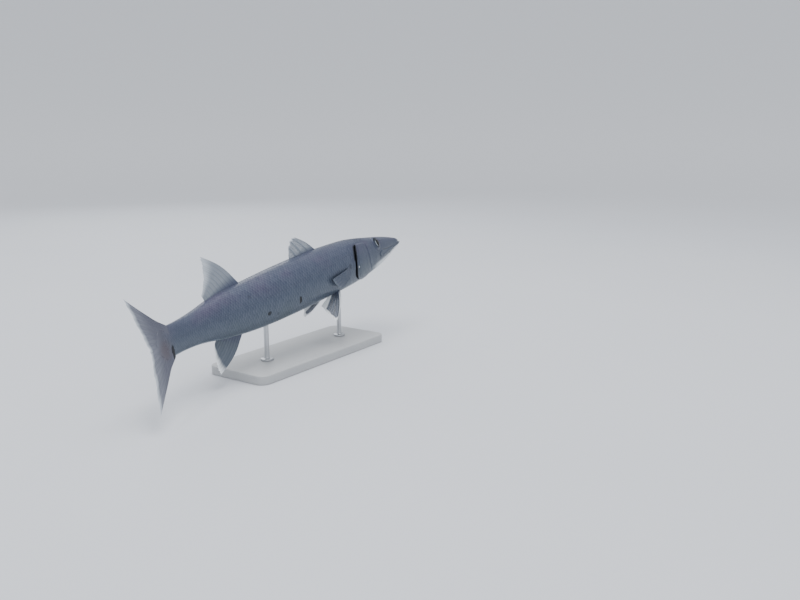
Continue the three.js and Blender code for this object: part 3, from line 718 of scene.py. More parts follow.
def bent_rows(row_at, row_step, left_angle):
    """Places of all points: rows near the gill cover's edge are pulled to follow it."""
    pull = within(row_at, 0.2, COVER_ROW, COVER_ROW, 0.37)
    return row_at + pull * (cover_edge(left_angle) - COVER_ROW) + row_step / BODY_LENGTH


def tail_end(row_at, down):
    """Past the tail fin's root the rows bow: they reach furthest in the middle."""
    reach = np.clip(row_at - 1, 0, None)
    bow = 1 - END_BOW * np.cos(down) ** 2
    return np.where(reach > 0, 1 + reach * bow, row_at)


def cover_share(left_angle):
    """1 where the gill cover has a free edge, fading to 0 above and below it."""
    low = smooth(left_angle, COVER_LOW - 0.12, COVER_LOW + 0.1)
    return low * (1 - smooth(left_angle, COVER_TOP - 0.12, COVER_TOP + 0.06))


def skin_form(row_at, down, row_step=0.0, cover_off=None, nose=0.0, rise=0.0):
    """Where points of the skin lie, from their row and their turn down from the back, which
    is negative on the left: their place, steps to the left and back, and angle."""
    turned = np.abs((down + math.pi) % (2 * math.pi) - math.pi)
    left_angle = math.pi / 2 - turned
    if cover_off is None:
        cover_off = smooth(row_at, *COVER_SWELL) * COVER_PROUD * (row_at < COVER_ROW)
    at = tail_end(bent_rows(row_at, row_step, left_angle), turned)
    angle = math.pi / 2 + down
    to_left, to_back = section(at, angle, -SKIN_DEPTH, nose)
    relief = relief_of_head(at, angle, place(at, to_left, to_back), to_left)
    off = relief + cover_off * cover_share(left_angle) + rise - SKIN_DEPTH
    return at, *section(at, angle, off, nose), angle


def furrow_shade_share(at, to_left, to_back, angle):
    """1 in the deepest furrows of the head, where shade is painted dark, and 0 off them."""
    relief = relief_of_head(at, angle, place(at, to_left, to_back), to_left)
    return np.clip(-relief / FURROW_SHADE_DEPTH, 0, 1)


def half_skin():
    """The right half, row by row from the back down to the belly, with what is known of each
    point: place, steps to the left and back, level, sine, cosine, and how much shade is painted
    there in the slits and in the furrows."""
    row_at, flat, folded, row_off, fold = rows_along()
    row_at, flat, folded, row_off = (row[:, None] for row in (row_at, flat, folded, row_off))
    down = half_turns(row_at[:, 0])
    covered = cover_share(math.pi / 2 - down)
    nose = np.zeros_like(down)
    nose[:, :UPPER_COLUMNS + 1] = UPPER_JAW_SETBACK
    row_step = mix(flat, folded, covered)
    at, to_left, to_back, angle = skin_form(row_at, down, row_step, row_off, nose)
    to_left[0], to_back[0] = 0, TIP_LEVEL * BODY_LENGTH
    crease = furrow_shade_share(at, to_left, to_back, angle)
    to_left, to_back = mouth_slit(at, to_left, to_back)
    to_left[-1] = 0
    level = tall_at(at, angle) * np.sin(angle)
    behind = (row_at - COVER_ROW) * BODY_LENGTH + row_step
    hidden = slit_shade_share(at, level, behind, fold, covered)
    return [at, to_left, to_back, level, np.sin(angle), np.cos(angle), hidden, crease]


def mouth_slit(at, to_left, to_back):
    """Sink the mouth's columns inward between the lips: deepest half way, none at the corner."""
    first, last = UPPER_COLUMNS, UPPER_COLUMNS + SLIT_COLUMNS
    upper, lower = to_left[:, first:first + 1], to_left[:, last:last + 1]
    share = np.linspace(0, 1, SLIT_COLUMNS + 1)[None]
    fade = 1 - smooth(at[:, first:first + 1], MOUTH_CORNER - 0.008, MOUTH_CORNER + 0.002)
    narrow = np.minimum(np.abs(upper), np.abs(lower))
    bottom = -np.maximum(narrow - SLIT_DEPTH * fade, np.minimum(narrow / 2, SLIT_LEAST))
    sunk = np.where(share < 0.5, mix(upper, bottom, share * 2), mix(bottom, lower, share * 2 - 1))
    falling = np.where(narrow > 0, share, np.clip(share * 2 - 1, 0, 1))
    level = mix(to_back[:, first:first + 1], to_back[:, last:last + 1], falling)
    open_share = smooth(fade, 0, 0.2)
    to_left[:, first:last + 1] = mix(to_left[:, first:last + 1], sunk, open_share)
    to_back[:, first:last + 1] = mix(to_back[:, first:last + 1], level, open_share)
    return to_left, to_back


def slit_shade_share(at, level, behind, fold, covered):
    """1 where shade is painted dark: inside the mouth, under the gill cover and behind its slit,
    in a strip that is broad above and below and thin between."""
    hidden = np.zeros(at.shape)
    inner = np.linspace(0, 1, SLIT_COLUMNS + 1)
    hidden[:, UPPER_COLUMNS:UPPER_COLUMNS + SLIT_COLUMNS + 1] = 1 - np.abs(2 * inner - 1) ** 4
    hidden *= 1 - smooth(at, MOUTH_CORNER - 0.006, MOUTH_CORNER + 0.004)
    hidden *= smooth(at, UPPER_JAW_SETBACK, UPPER_JAW_SETBACK + 0.006)
    above, between, below = SLIT_SHADE_REACH
    width = mix(between, above, smooth(level, -0.003, 0.005))
    width = mix(width, below, within(-level, 0.018, 0.023, 0.04, 0.05))
    slit = 1 - smooth(behind, width * 0.6, width)
    on_rim = slice(0, fold.start + COVER_LIP)
    slit[on_rim] = 1 - smooth(-behind, width * RIM_SHADE_SHARE / 3, width * RIM_SHADE_SHARE)[on_rim]
    return np.maximum(hidden, slit * covered)


def skin_mesh():
    """The whole skin: the right half and its mirror image. The first and last rows have no
    width, so that merging their doubles closes both ends."""
    half = half_skin()
    mirrored = [np.hstack([grid, grid[:, -2:0:-1]]) for grid in half]
    for signed in (1, 5):
        mirrored[signed] = np.hstack([half[signed], -half[signed][:, -2:0:-1]])
    at, to_left, to_back, level, sine, side, hidden, crease = mirrored
    mesh = mesh_of("skin", place(at, to_left, to_back), grid_faces(*at.shape, closed=True),
                   body=np.stack([at, level, sine], -1), side=side, hidden=hidden, crease=crease)
    closed_up(mesh)
    return mesh


# %% [markdown]
# The skin is slate blue with a violet cast on the back, a touch greener and paler low on the
# flank, and white under the jaw. The markings are a few dark spots and a brown smudge on the
# tail fin's root. Shade is painted dark inside the mouth and the gill slits, just behind the
# gill cover's edge and in the head's furrows, a painted shadow line lies across the tail fin's
# root, and a painted glint sits on the right gill cover's rim. A thin clear layer makes it look
# wet. Skin and scales share one function for their colour, and the shadow line and smudge run
# on over the tail fin.

# %% The fish's own colours
BACK_COLOUR = srgb(70, 76, 96)
UPPER_COLOUR = srgb(65, 72, 92)
FLANK_COLOUR = srgb(66, 75, 93)
LOWER_COLOUR = srgb(72, 82, 96)
BELLY_COLOUR = srgb(150, 160, 168)
VIOLET = srgb(78, 69, 95)
GREEN_GREY = srgb(66, 80, 87)
TAIL_TONE = srgb(88, 90, 103)
TAIL_WEB = srgb(122, 125, 136)
TAIL_SMUDGE = srgb(88, 78, 84)
SMUDGE_AT = [1.022, -0.014]  # place and level of the smudge's middle on the tail fin
SMUDGE_RADIUS = 24 * MM
JAW_WHITE = srgb(212, 218, 222)
DARK_MARK_AND_SHADE = srgb(14, 17, 24)
COVER_GLINT = [0.304, -0.0176, 0.0024, 0.0024, 0.85]  # a painted glint on the right gill cover's rim
# Marks on the right and the left side: place, level, half length, half height, strength
SPOTS = {
    -1: [[0.562, -0.0326, 0.005, 0.011, 0.95], [0.674, -0.0326, 0.007, 0.006, 0.85],
         [0.644, -0.0428, 0.004, 0.004, 0.35], [0.724, 0.0241, 0.006, 0.005, 0.25],
         [0.342, -0.0067, 0.006, 0.008, 0.45],
         [0.061, -0.0198, 0.0045, 0.0032, 0.85], [0.09, -0.0265, 0.005, 0.003, 0.75]],
    1: [[0.53, -0.036, 0.006, 0.007, 0.9], [0.612, -0.03, 0.005, 0.009, 0.8],
        [0.705, -0.037, 0.006, 0.005, 0.7], [0.8, 0.012, 0.005, 0.004, 0.3],
        [0.342, -0.0067, 0.006, 0.008, 0.45],
        [0.066, -0.0212, 0.0045, 0.003, 0.8], [0.101, -0.029, 0.0045, 0.003, 0.6]],
}
ROOT_SHADOW_AT = [0.998, -0.0285]  # place and level of the middle of the painted shadow line at the tail fin's root
ROOT_SHADOW_HALF = [4.4 * MM, 17 * MM]
ROOT_SHADOW_STRENGTH = 0.95
SMUDGE_STRENGTH = 0.6


def blotch(at, level, spot_row):
    """A soft-edged oval mark."""
    place_at, place_level, long, high, strength = spot_row
    across = (at - place_at) / long
    up = (level - place_level) / high
    return (across * across + up * up).smooth(1.15, 0.55) * strength


def dark_spots_and_shadow(spot, at, level, side):
    """All dark spots of both sides, with ragged edges, and the painted shadow at the tail's root."""
    wobble = (noise(spot, 260) - 0.5) * 0.004
    total = None
    for way, rows in SPOTS.items():
        on_side = side.smooth(0.02 * way, 0.1 * way)
        for row in rows:
            mark = blotch(at + wobble, level + wobble, row) * on_side
            total = mark if total is None else total.math("MAXIMUM", mark)
    return total.math("MAXIMUM", tail_root_shadow(spot))


def tail_root_shadow(spot):
    """A painted shadow line across the tail fin's root, by the steps from its middle, so that it
    runs on from the skin to the fin's own web."""
    at, level = ROOT_SHADOW_AT
    middle = place(at, 0, level * BODY_LENGTH)
    ahead, _, back = (POSE @ way for way in axes(np.asarray(at)))
    along, up = (spot.vector("DOT_PRODUCT", tuple(way)) - float(middle @ way) for way in (ahead, back))
    wobble = (noise(spot, 260) - 0.5) * 3 * MM
    return blotch(along + wobble, up, [0, 0, *ROOT_SHADOW_HALF, ROOT_SHADOW_STRENGTH])


def body_colour(spot, at, level, sine, side):
    """Colour of skin and scales: a ramp from belly to back, with clouds, a white jaw and the tail's
    own tone. Dark spots and the painted shadow at the tail's root come with it, to go on top."""
    height = sine * 0.5 + 0.5
    stops = [(0.0, BELLY_COLOUR), (0.06, LOWER_COLOUR), (0.25, LOWER_COLOUR), (0.5, FLANK_COLOUR),
             (0.78, UPPER_COLOUR), (0.95, BACK_COLOUR)]
    cloud = noise(spot, 9, 4)
    ramp = height.node("ShaderNodeValToRGB", {"stops": stops}, {0: height + (cloud - 0.5) * 0.1})
    violet = noise(spot, 14, 3).smooth(0.45, 0.7) * height.smooth(0.45, 0.85) * 0.6
    green = noise(spot, 11, 2).smooth(0.5, 0.7) * height.smooth(0.6, 0.25) * 0.5
    colour = mixed(green, mixed(violet, ramp, VIOLET), GREEN_GREY)
    jaw = at.smooth(0.24, 0.16) * (sine + (cloud - 0.5) * 0.1).smooth(-0.56, -0.76)
    colour = mixed(jaw, colour, JAW_WHITE)
    colour = mixed(at.smooth(0.98, 1.02), colour, TAIL_TONE)
    colour = mixed(at.smooth(1.02, 1.05) * 0.6, colour, TAIL_WEB)
    colour = smudged(spot, colour)
    return colour, dark_spots_and_shadow(spot, at, level, side)


def smudged(spot, colour):
    """The brownish smudge on the tail fin's base, by the distance from its middle, so that it
    runs on from the skin to the fin's own web."""
    middle = tuple(place(SMUDGE_AT[0], 0, SMUDGE_AT[1] * BODY_LENGTH))
    away = spot.vector("DISTANCE", middle) + (noise(spot, 70) - 0.5) * 12 * MM
    share = away.smooth(SMUDGE_RADIUS, SMUDGE_RADIUS * 0.2) * SMUDGE_STRENGTH
    return mixed(share, colour, TAIL_SMUDGE)


# %% Finishes of skin and scales
def skin_finish():
    """Bare skin: body colour, painted shade in the slits and furrows, a painted glint on the
    right gill cover, a fine grain and a wet coat.
    """
    material, spot = new_material("fish skin", Coat_Roughness=0.14, Specular_IOR_Level=0.3)
    at, level, sine = fact(spot, "body", three=True)
    side, hidden, crease = fact(spot, "side"), fact(spot, "hidden"), fact(spot, "crease")
    colour, spots_and_shadow = body_colour(spot, at, level, sine, side)
    # Painted shade of the slits and furrows and the painted shadow at the tail's root darken the skin,
    # together with its own dark spots.
    dark = spots_and_shadow.math("MAXIMUM", hidden).math("MAXIMUM", crease * 0.6)
    grain = noise(spot, 900, 4, 0.6)
    pores = noise(spot, 240, 2)
    freckled = mixed((grain - 0.5).smooth(-0.5, 0.5) * 0.16, colour, DARK_MARK_AND_SHADE)
    # A painted glint on the right gill cover's rim.
    cover_glint = blotch(at, level, COVER_GLINT) * side.smooth(0, -0.1)
    feed(material, "Base Color", mixed(cover_glint, mixed(dark, freckled, DARK_MARK_AND_SHADE), JAW_WHITE))
    feed(material, "Roughness", 0.38 + (noise(spot, 60) - 0.5) * 0.2)
    feed(material, "Metallic", 0.15 * (1 - dark))
    feed(material, "Coat Weight", 0.25 * (1 - dark))
    emboss(material, grain * 0.4 + pores * 0.6, 0.4 * MM, 0.35)
    return material


SKIN = skin_finish()
add_piece(skin_mesh(), SKIN, "skin", "head", "lower_jaw", "gill_cover_left", "gill_cover_right",
          "trunk_front", "trunk_rear", "tail_stalk")

# %% [markdown]
# A barracuda's scales are thin round-edged plates in staggered rows, each rooted under the one
# ahead and lying back over the next. There are some 85 along the flank and 46 round the body.
# Each is a closed plate of a few dozen faces, worked out for all scales at once as one array:
# scale by scale, point by point. Small ones cover the cheek and the gill cover. Toward bare
# skin the scales get smaller and sink in, so that no row ends at a line.

# %% One scale's own grid
SCALE_ALONG = np.array([0, 0.5, 0.85, 1])
SCALE_ACROSS = np.linspace(-1, 1, 6)
SCALE_THICK = 0.16 * MM
SCALE_ROOT = -0.3 * MM  # the root lies this far under the skin
SCALE_LIFT = 0.36 * MM  # the hind edge stands this far off it
SCALE_CROWN = 0.14 * MM  # its middle stands this far above its sides
SCALE_OVERLAP = 1.7  # length of a scale over the distance to the next
FULL_PITCH = 7  # the pitch, in millimetres, of scales that lift in full
EDGE_SIZE = 0.5  # size of a scale next to bare skin, as a share
EDGE_SINK = 0.12 * MM
EDGE_RAGGED = 0.6  # how far the border wavers, as a share of the width that it fades over
EDGE_SEED = 5
TAIL_SINK = 0.45 * MM  # the last scales lie this much deeper in the tail fin


def plate_faces(rows, columns):
    """Quads of a closed plate: a top grid, a bottom grid and the rim between them."""
    top = grid_faces(rows, columns)
    size = rows * columns
    first, last = np.arange(columns), np.arange(columns) + (rows - 1) * columns
    left, right = np.arange(rows) * columns, np.arange(rows) * columns + columns - 1
    rim = np.concatenate([first, right[1:], last[::-1][1:], left[::-1][1:-1]])
    after = np.roll(rim, -1)
    wall = np.stack([rim, rim + size, after + size, after], -1)
    return np.vstack([top, top[:, ::-1] + size, wall])


def scale_outline():
    """Steps along from 0 at the root to 1, and across, of one scale's grid: its hind edge is
    round and its root a little narrower."""
    along, across = np.meshgrid(SCALE_ALONG, SCALE_ACROSS, indexing="ij")
    wide = across * mix(0.72, 1, smooth(along, 0, 0.6)) * (1 - 0.1 * along * across ** 2)
    long = along * (1 - 0.4 * np.abs(across) ** 2.4 * along)
    return long.ravel(), wide.ravel()


# %% Scales in rows
SCALES_ROUND = 46
PITCH = through([[0.2, 3.9], [0.27, 5.4], [0.34, 6.8], [0.5, 7.1], [0.7, 6.7], [0.85, 5.8],
                 [0.95, 4.9], [1.05, 4.0]])  # millimetres from scale to scale along a row
BODY_SCALES_FROM = 0.208
BODY_SCALES_TO = 1.03
BODY_FADE = 22 * MM  # scales grow to full size over this width from their border at the tail
FRONT_STEEPER = 2.2  # and over one that is so many times less from the one in front
SLIT_BARE = 0.0088  # bare skin behind the gill slit
THROAT_BARE = math.radians(140)  # past this turn from the back no scales lie ahead of the slit
SMALL_PITCH = 3.7
SMALL_ROUND = 92
SMALL_SCALES_FROM = 0.172
SMALL_FADE = 6 * MM
SMALL_LOWEST = math.radians(-62)
EYE_BARE = 16.5 * MM
RIM_BARE = 0.014  # bare skin along the gill cover's free edge
GROOVE_BARE = 0.0012  # half the bare groove along the cheek plate's edge
ARM = 38 * MM  # middling distance of the cheek's skin from the body's line


def lattice(start, end, pitch, count_round):
    """Places of staggered roots: along by a pitch that may change, and evenly round."""
    along = [start]
    while along[-1] < end:
        along.append(along[-1] + float(pitch(along[-1])) * MM / BODY_LENGTH)
    along = np.array(along)
    around = (np.arange(count_round) / count_round * 2 - 1) * math.pi
    row_at, down = np.meshgrid(along, around, indexing="ij")
    half_step = pitch(row_at) * MM / BODY_LENGTH / 2
    row_at = row_at + half_step * (np.arange(count_round) % 2)
    return row_at.ravel(), down.ravel()


def kept_roots(row_at, down, pitch, inside, fade, turn):
    """The roots that are inside their area, whose border is ragged, with the sizes of their
    scales: pitch in millimetres, half width as a turn, and full, which is 0 at the border."""
    chance = np.random.default_rng(EDGE_SEED)
    inside = inside - EDGE_RAGGED * fade * chance.random(inside.shape) ** 2
    keep = inside > 0
    full = smooth(inside[keep], 0, fade)
    return {"row_at": row_at[keep], "down": down[keep], "pitch": pitch[keep], "turn": turn,
            "full": full, "overlap": SCALE_OVERLAP, "crown": SCALE_CROWN, "rise": 0}


def body_roots():
    """Roots on the trunk and nape, none over the gill slit or on the cover."""
    row_at, down = lattice(BODY_SCALES_FROM, BODY_SCALES_TO, PITCH, SCALES_ROUND)
    covered = cover_share(math.pi / 2 - np.abs(down)) > 0.02
    below = np.abs(down) > THROAT_BARE
    ahead = np.where(covered | below, COVER_ROW + SLIT_BARE, BODY_SCALES_FROM - 0.001)
    inside = np.minimum((row_at - ahead) * FRONT_STEEPER, BODY_SCALES_TO - row_at) * BODY_LENGTH
    return kept_roots(row_at, down, PITCH(row_at), inside, BODY_FADE, 2 * math.pi / SCALES_ROUND)


def small_roots():
    """Roots of the small scales on cheek and gill cover, none near the eye or free edges."""
    row_at, down = lattice(SMALL_SCALES_FROM, COVER_ROW, lambda at: np.full_like(at, SMALL_PITCH),
                           SMALL_ROUND)
    left_angle = math.pi / 2 - np.abs(down)
    at, to_left, to_back, angle = skin_form(row_at, down)
    level = tall_at(at, angle) * np.sin(angle)
    away = np.full(at.shape, 1.0)
    for side in (1, -1):
        centre, _ = spot_on_side(EYE_AT, EYE_LEVEL, side)
        away = np.minimum(away, np.linalg.norm(place(at, to_left, to_back) - centre, axis=-1))
    front = SMALL_SCALES_FROM + 0.004 + 9 * (level + 0.016) ** 2
    top = mix(0.015, 0.06, smooth(at, 0.18, 0.24))
    inside = [(at - front) * BODY_LENGTH, (top - level) * BODY_LENGTH, away - EYE_BARE,
              (COVER_TOP - 0.06 - left_angle) * ARM, (left_angle - SMALL_LOWEST) * ARM,
              (COVER_ROW - RIM_BARE - row_at) * BODY_LENGTH,
              (np.abs(at - cheek_edge(level) + 0.001) - GROOVE_BARE) * BODY_LENGTH * 1.6]
    return kept_roots(row_at, down, np.full(at.shape, SMALL_PITCH), np.min(inside, 0), SMALL_FADE,
                      2 * math.pi / SMALL_ROUND)


# %% [markdown]
# The lateral line is the fish's organ for feeling the water: a row of small tubes from the
# upper corner of the gill slit to the middle of the tail fin's root. Each tube is made like a
# scale that is narrow, arched and a little higher than its neighbours.

# %% The lateral line
LATERAL_LEVEL = through([[0.29, 0.031], [0.34, 0.0235], [0.42, 0.0175], [0.55, 0.011], [0.75, 0.004],
                         [0.95, 0.0], [1.05, 0.0]])
LATERAL_FROM = 0.318
LATERAL_TO = 1.025
TUBE_TURN = 0.034
TUBE_OVERLAP = 1.3
TUBE_CROWN = 0.5 * MM
TUBE_RISE = 0.36 * MM


def lateral_roots():
    """One root in each ring of scales, on both sides, at the lateral line's level."""
    row_at, _ = lattice(LATERAL_FROM, LATERAL_TO, PITCH, 1)
    angle = np.arcsin(LATERAL_LEVEL(row_at) / back_at(row_at))
    down = np.concatenate([math.pi / 2 - angle, angle - math.pi / 2])
    row_at = np.tile(row_at, 2)
    inside = np.full(row_at.shape, 1.0)
    roots = kept_roots(row_at, down, PITCH(row_at), inside, 9 * MM, TUBE_TURN)
    return {**roots, "overlap": TUBE_OVERLAP, "crown": TUBE_CROWN, "rise": TUBE_RISE}


def scale_points(roots, chance):
    """World points of all scales and what is known of them: top grid, then bottom grid."""
    long, wide = scale_outline()
    row_at, down, pitch, full = (roots[name][:, None] for name in ("row_at", "down", "pitch", "full"))
    size = (1 + 0.07 * (chance.random(row_at.shape) - 0.5)) * mix(EDGE_SIZE, 1, full)
    lift = (pitch / FULL_PITCH) ** 0.5 * (1 + 0.25 * (chance.random(row_at.shape) - 0.5))
    rows = row_at + long[None] * pitch * roots["overlap"] * MM / BODY_LENGTH * size
    downs = down + wide[None] * roots["turn"] * size
    slope = mix(SCALE_ROOT, SCALE_LIFT, long[None]) - roots["crown"] * wide[None] ** 2
    rise = slope * lift + roots["rise"] - EDGE_SINK * (1 - full)
    rise = rise - TAIL_SINK * smooth(row_at, 1.0, BODY_SCALES_TO)
    tops = np.where(long > 0, SCALE_THICK / 2, SCALE_THICK / 4)[None]
    points, facts = [], []
    for way in (1, -1):
        at, to_left, to_back, angle = skin_form(rows, downs, rise=rise + way * tops)
        points.append(place(at, to_left, to_back))
        sine = np.sin(angle)
        facts.append(np.stack([at, tall_at(at, angle) * sine, sine, np.cos(angle)], -1))
    return np.concatenate(points, 1), np.concatenate(facts, 1)


# %% [markdown]
# For a bake of the colours into a flat map, each scale needs a place on that map. A scale is
# too small to be unwrapped by itself, so each gets a tiny patch of the map OFBake at its root's
# own place, on a map whose one way is the place along the fish and whose other way runs round it.

# %% Scales into the scene
BAKE_PATCH = 0.003
BAKE_LONG = 1.1  # the map's far end, as a share of the body's length
BAKE_ROUND = 0.98  # the share of the map's other way that one turn round the fish takes
MOST_SCALES = 2000  # in one piece, which keeps it under 200,000 triangles
SCALE_LIGHT = srgb(170, 180, 194)


def bake_map(mesh, uv):
    """Give the mesh its OFBake map, from one place on the map for each point."""
    layer = mesh.uv_layers.new(name="OFBake")
    corner_point = np.empty(len(mesh.loops), np.int32)
    mesh.loops.foreach_get("vertex_index", corner_point)
    layer.data.foreach_set("uv", one_row(uv[corner_point]))


def add_scales(name, roots, material, seed):
    """Make the scales of these roots, in as many pieces as needed."""
    chance = np.random.default_rng(seed)
    points, facts = scale_points(roots, chance)
    long, wide = (np.tile(grid, 2) for grid in scale_outline())
    row_at, down = roots["row_at"], roots["down"]
    tone = chance.random(len(row_at))
    own_faces = plate_faces(len(SCALE_ALONG), len(SCALE_ACROSS))
    uv = np.stack([row_at / BAKE_LONG, down / (2 * math.pi) * BAKE_ROUND + 0.5], -1)[:, None]
    uv = uv + np.stack([long, wide / 2], -1)[None] * BAKE_PATCH
    for part, start in enumerate(range(0, len(row_at), MOST_SCALES)):
        some = slice(start, start + MOST_SCALES)
        count = len(row_at[some])
        faces = own_faces[None] + np.arange(count)[:, None, None] * len(long)
        known = facts[some]
        plate = np.broadcast_arrays(long[None], wide[None], tone[some][:, None])
        mesh = mesh_of(f"{name}_{part + 1}", points[some], faces.reshape(-1, 4),
                       body=known[..., :3], side=known[..., 3], plate=np.stack(plate, -1))
        bake_map(mesh, uv[some].reshape(-1, 2))
        add_piece(mesh, material, "skin", sharp=35)


def scale_finish():
    """The body's colour, with a pale clear hind margin, a root darkened as a painted shadow of the
    scale that lies over it, and a fan of fine lines.
    """
    material, spot = new_material("fish scales", Coat_Roughness=0.16, Specular_IOR_Level=0.3)
    at, level, sine = fact(spot, "body", three=True)
    side = fact(spot, "side")
    long, wide, tone = fact(spot, "plate", three=True)
    colour, spots_and_shadow = body_colour(spot, at, level, sine, side)
    margin = long.smooth(0.62, 0.98)
    # Painted shadow: the root is darker where the scale ahead lies over it.
    root = long.smooth(0.6, 0.25)
    light = mixed(margin * 0.1 + tone * 0.05, colour, SCALE_LIGHT)
    dark = (root * 0.22).math("MAXIMUM", spots_and_shadow)
    feed(material, "Base Color", mixed(dark, light, DARK_MARK_AND_SHADE))
    feed(material, "Roughness", 0.35 + tone * 0.1)
    feed(material, "Metallic", (0.16 + margin * 0.1) * (1 - spots_and_shadow))
    feed(material, "Coat Weight", (0.22 - margin * 0.08) * (1 - spots_and_shadow))
    fan = (wide / (long + 0.35) * 34).math("SINE")
    rings = (long * 60 + wide * wide * 14).math("SINE")
    emboss(material, fan * 0.5 + rings * 0.3, 0.05 * MM, 0.4)
    return material


SCALES = scale_finish()
add_scales("scales_body", body_roots(), SCALES, 11)
add_scales("scales_small", small_roots(), SCALES, 12)
add_scales("lateral_line", lateral_roots(), SCALES, 13)

# %% [markdown]
# The eye is large, flat and set high, with a black pupil a little ahead of and below its
# middle, a silver iris that is dark above and has a painted highlight behind the pupil, and a
# clear cornea that takes glints. It is one closed dome: the lens stands up in the pupil, the
# iris dips round it, and the paint follows the distance from the pupil. A ring of bare skin
# holds it.

# %% Eyes
EYE_RADIUS = 15.4 * MM
EYE_DEPTH = 6.6 * MM
EYE_SUNK = 4.3 * MM
PUPIL_AHEAD = 2.0 * MM
PUPIL_BELOW = 1.5 * MM
PUPIL_HIGH = 7.5 * MM
PUPIL_LONG = 6.5 * MM
LID_PROFILE = np.array([
    [11.9, -1.6], [12.05, -0.45], [12.5, 0.2], [13.2, 0.42], [14.4, 0.25], [15.8, -0.7],
    [17.0, -2.4], [16.4, -4.2], [13.6, -4.2],
]) * MM  # out from the eye's middle and off the skin
EYE_RINGS = 61
EYE_POINTS = 96  # points all round the eye and its lid
LID_REST = 16 * MM  # how far out the lid lies on the head
LID_FOLLOWS = 0.75  # how far it sinks with the head's own curve there


def eye_frame(side):
    """The eye's point on the skin and three directions: to the front, up and out."""
    spot, out = spot_on_side(EYE_AT, EYE_LEVEL, side)
    ahead = POSE @ axes(np.asarray(EYE_AT))[0]
    front = unit(ahead - out * (ahead @ out))
    up = np.cross(out, front)
    up = up if up[2] > 0 else -up
    return spot, front, up, out


def eyeball(word, side):
    """A flat dome on rings round its pole, whose height also has the lens and the iris."""
    spot, front, up, out = eye_frame(side)
    tilts = np.linspace(0, math.pi, EYE_RINGS)
    tilt, turn = np.meshgrid(tilts, full_turn(EYE_POINTS), indexing="ij")
    away = np.sin(tilt) * EYE_RADIUS
    across, high = away * np.cos(turn), away * np.sin(turn)
    from_pupil = np.hypot((across - PUPIL_AHEAD) / PUPIL_LONG, (high + PUPIL_BELOW) / PUPIL_HIGH)
    relief = 0.5 * smooth(from_pupil, 1.02, 0.9) - 0.25 * bump(from_pupil, 1.35, 0.3)
    depth = np.cos(tilt) * EYE_DEPTH - EYE_SUNK + relief * MM * (tilt < 1.5)
    points = spot + across[..., None] * front + high[..., None] * up + depth[..., None] * out
    rings = np.stack([from_pupil, away / EYE_RADIUS, high / EYE_RADIUS], -1)
    mesh = mesh_of(f"eyeball_{word}", points, grid_faces(*tilt.shape, closed=True), eye=rings,
                   rear=-across / EYE_RADIUS)
    closed_up(mesh)
    add_piece(mesh, EYE, "eye", f"eye_{word}")


def head_under_lid(spot, seen, side):
    """Where the head's skin is under points near the eye, and those points' place and level."""
    ahead, _, back = axes(np.asarray(EYE_AT))
    step = (seen - spot) @ POSE
    at = EYE_AT - step @ ahead / BODY_LENGTH
    level = EYE_LEVEL + step @ back / BODY_LENGTH
    return on_body(at, side_angle(at, level, side), -SKIN_DEPTH), at, level


def eyelid(word, side):
    """A closed ring of skin round the eye: its profile carried round, sinking with the head."""
    spot, front, up, out = eye_frame(side)
    turn = full_turn(EYE_POINTS)[:, None]
    away, high = LID_PROFILE[None, :, 0], LID_PROFILE[None, :, 1]
    flat = np.cos(turn)[..., None] * front + np.sin(turn)[..., None] * up
    under = head_under_lid(spot, spot + flat * LID_REST, side)[0] - spot
    height = high + (under @ out) * LID_FOLLOWS * smooth(away, 12 * MM, 17 * MM)
    points = spot + flat * away[..., None] + height[..., None] * out
    _, at, level = head_under_lid(spot, points, side)
    body = np.stack([at, level, np.clip(level / back_at(at), -1, 1)], -1)
    ring = np.arange(points.shape[0] * points.shape[1]).reshape(points.shape[:2])
    after = np.roll(ring, -1, 0)
    faces = np.stack([ring, np.roll(ring, -1, 1), np.roll(after, -1, 1), after], -1).reshape(-1, 4)
    nothing = np.zeros(at.shape)
    mesh = mesh_of(f"eyelid_{word}", points, faces, body=body, side=nothing + side, hidden=nothing,
                   crease=nothing)
    closed_up(mesh)
    add_piece(mesh, SKIN, "skin")


def eye_finish():
    """Black pupil, thin brassy ring, flecked silver iris, dark above and at its rim, with a painted
    highlight behind the pupil."""
    material, spot = new_material("eye under clear cornea", Coat_Weight=0.16, Coat_Roughness=0.02,
                                  Specular_IOR_Level=0.15)
    pupil, away, high = fact(spot, "eye", three=True)
    flecks = noise(spot, 700, 3)
    silver = mixed(flecks, srgb(46, 54, 67), srgb(92, 101, 113))
    brass = mixed(pupil.smooth(1.2, 1.04) * 0.5, silver, srgb(104, 105, 99))
    shade = (high + (noise(spot, 160) - 0.5) * 0.2).smooth(0.1, 0.5) * 0.8
    dark_top = mixed(shade, brass, srgb(28, 33, 43))
    # A painted highlight on the iris behind the pupil.
    iris_glint = pupil.bump(1.24, 0.2) * fact(spot, "rear").smooth(0.1, 0.4) * high.smooth(0.4, 0.1)
    bright = mixed(iris_glint, dark_top, srgb(214, 221, 228))
    rim = mixed(away.smooth(0.64, 0.8), bright, srgb(26, 31, 40))
    feed(material, "Base Color", mixed(pupil.smooth(1.12, 1.02), rim, srgb(2, 3, 4)))
    feed(material, "Metallic", pupil.smooth(1.0, 1.15) * away.smooth(0.86, 0.74) * 0.6)
    feed(material, "Roughness", 0.12 + pupil.smooth(1.0, 1.2) * 0.2)
    return material


EYE = eye_finish()
for word, way in (("left", 1), ("right", -1)):
    eyeball(word, way)
    eyelid(word, way)

# %% [markdown]
# A fin is a thin web held by rays. Each fin's middle surface is a function of two shares: the
# first counts across the rays from the leading edge, the second runs from the root to the
# tip. The rays are ridges in its thickness. Soft rays split in two and again in four on their
# way out, and spines stay single. The web is drawn in a little between the tips.

# %% A fin from its middle surface
WEB_DARK = 0.72  # the web's darker clouds, as a share of its colour
WHITE_MARGIN = srgb(240, 244, 246)


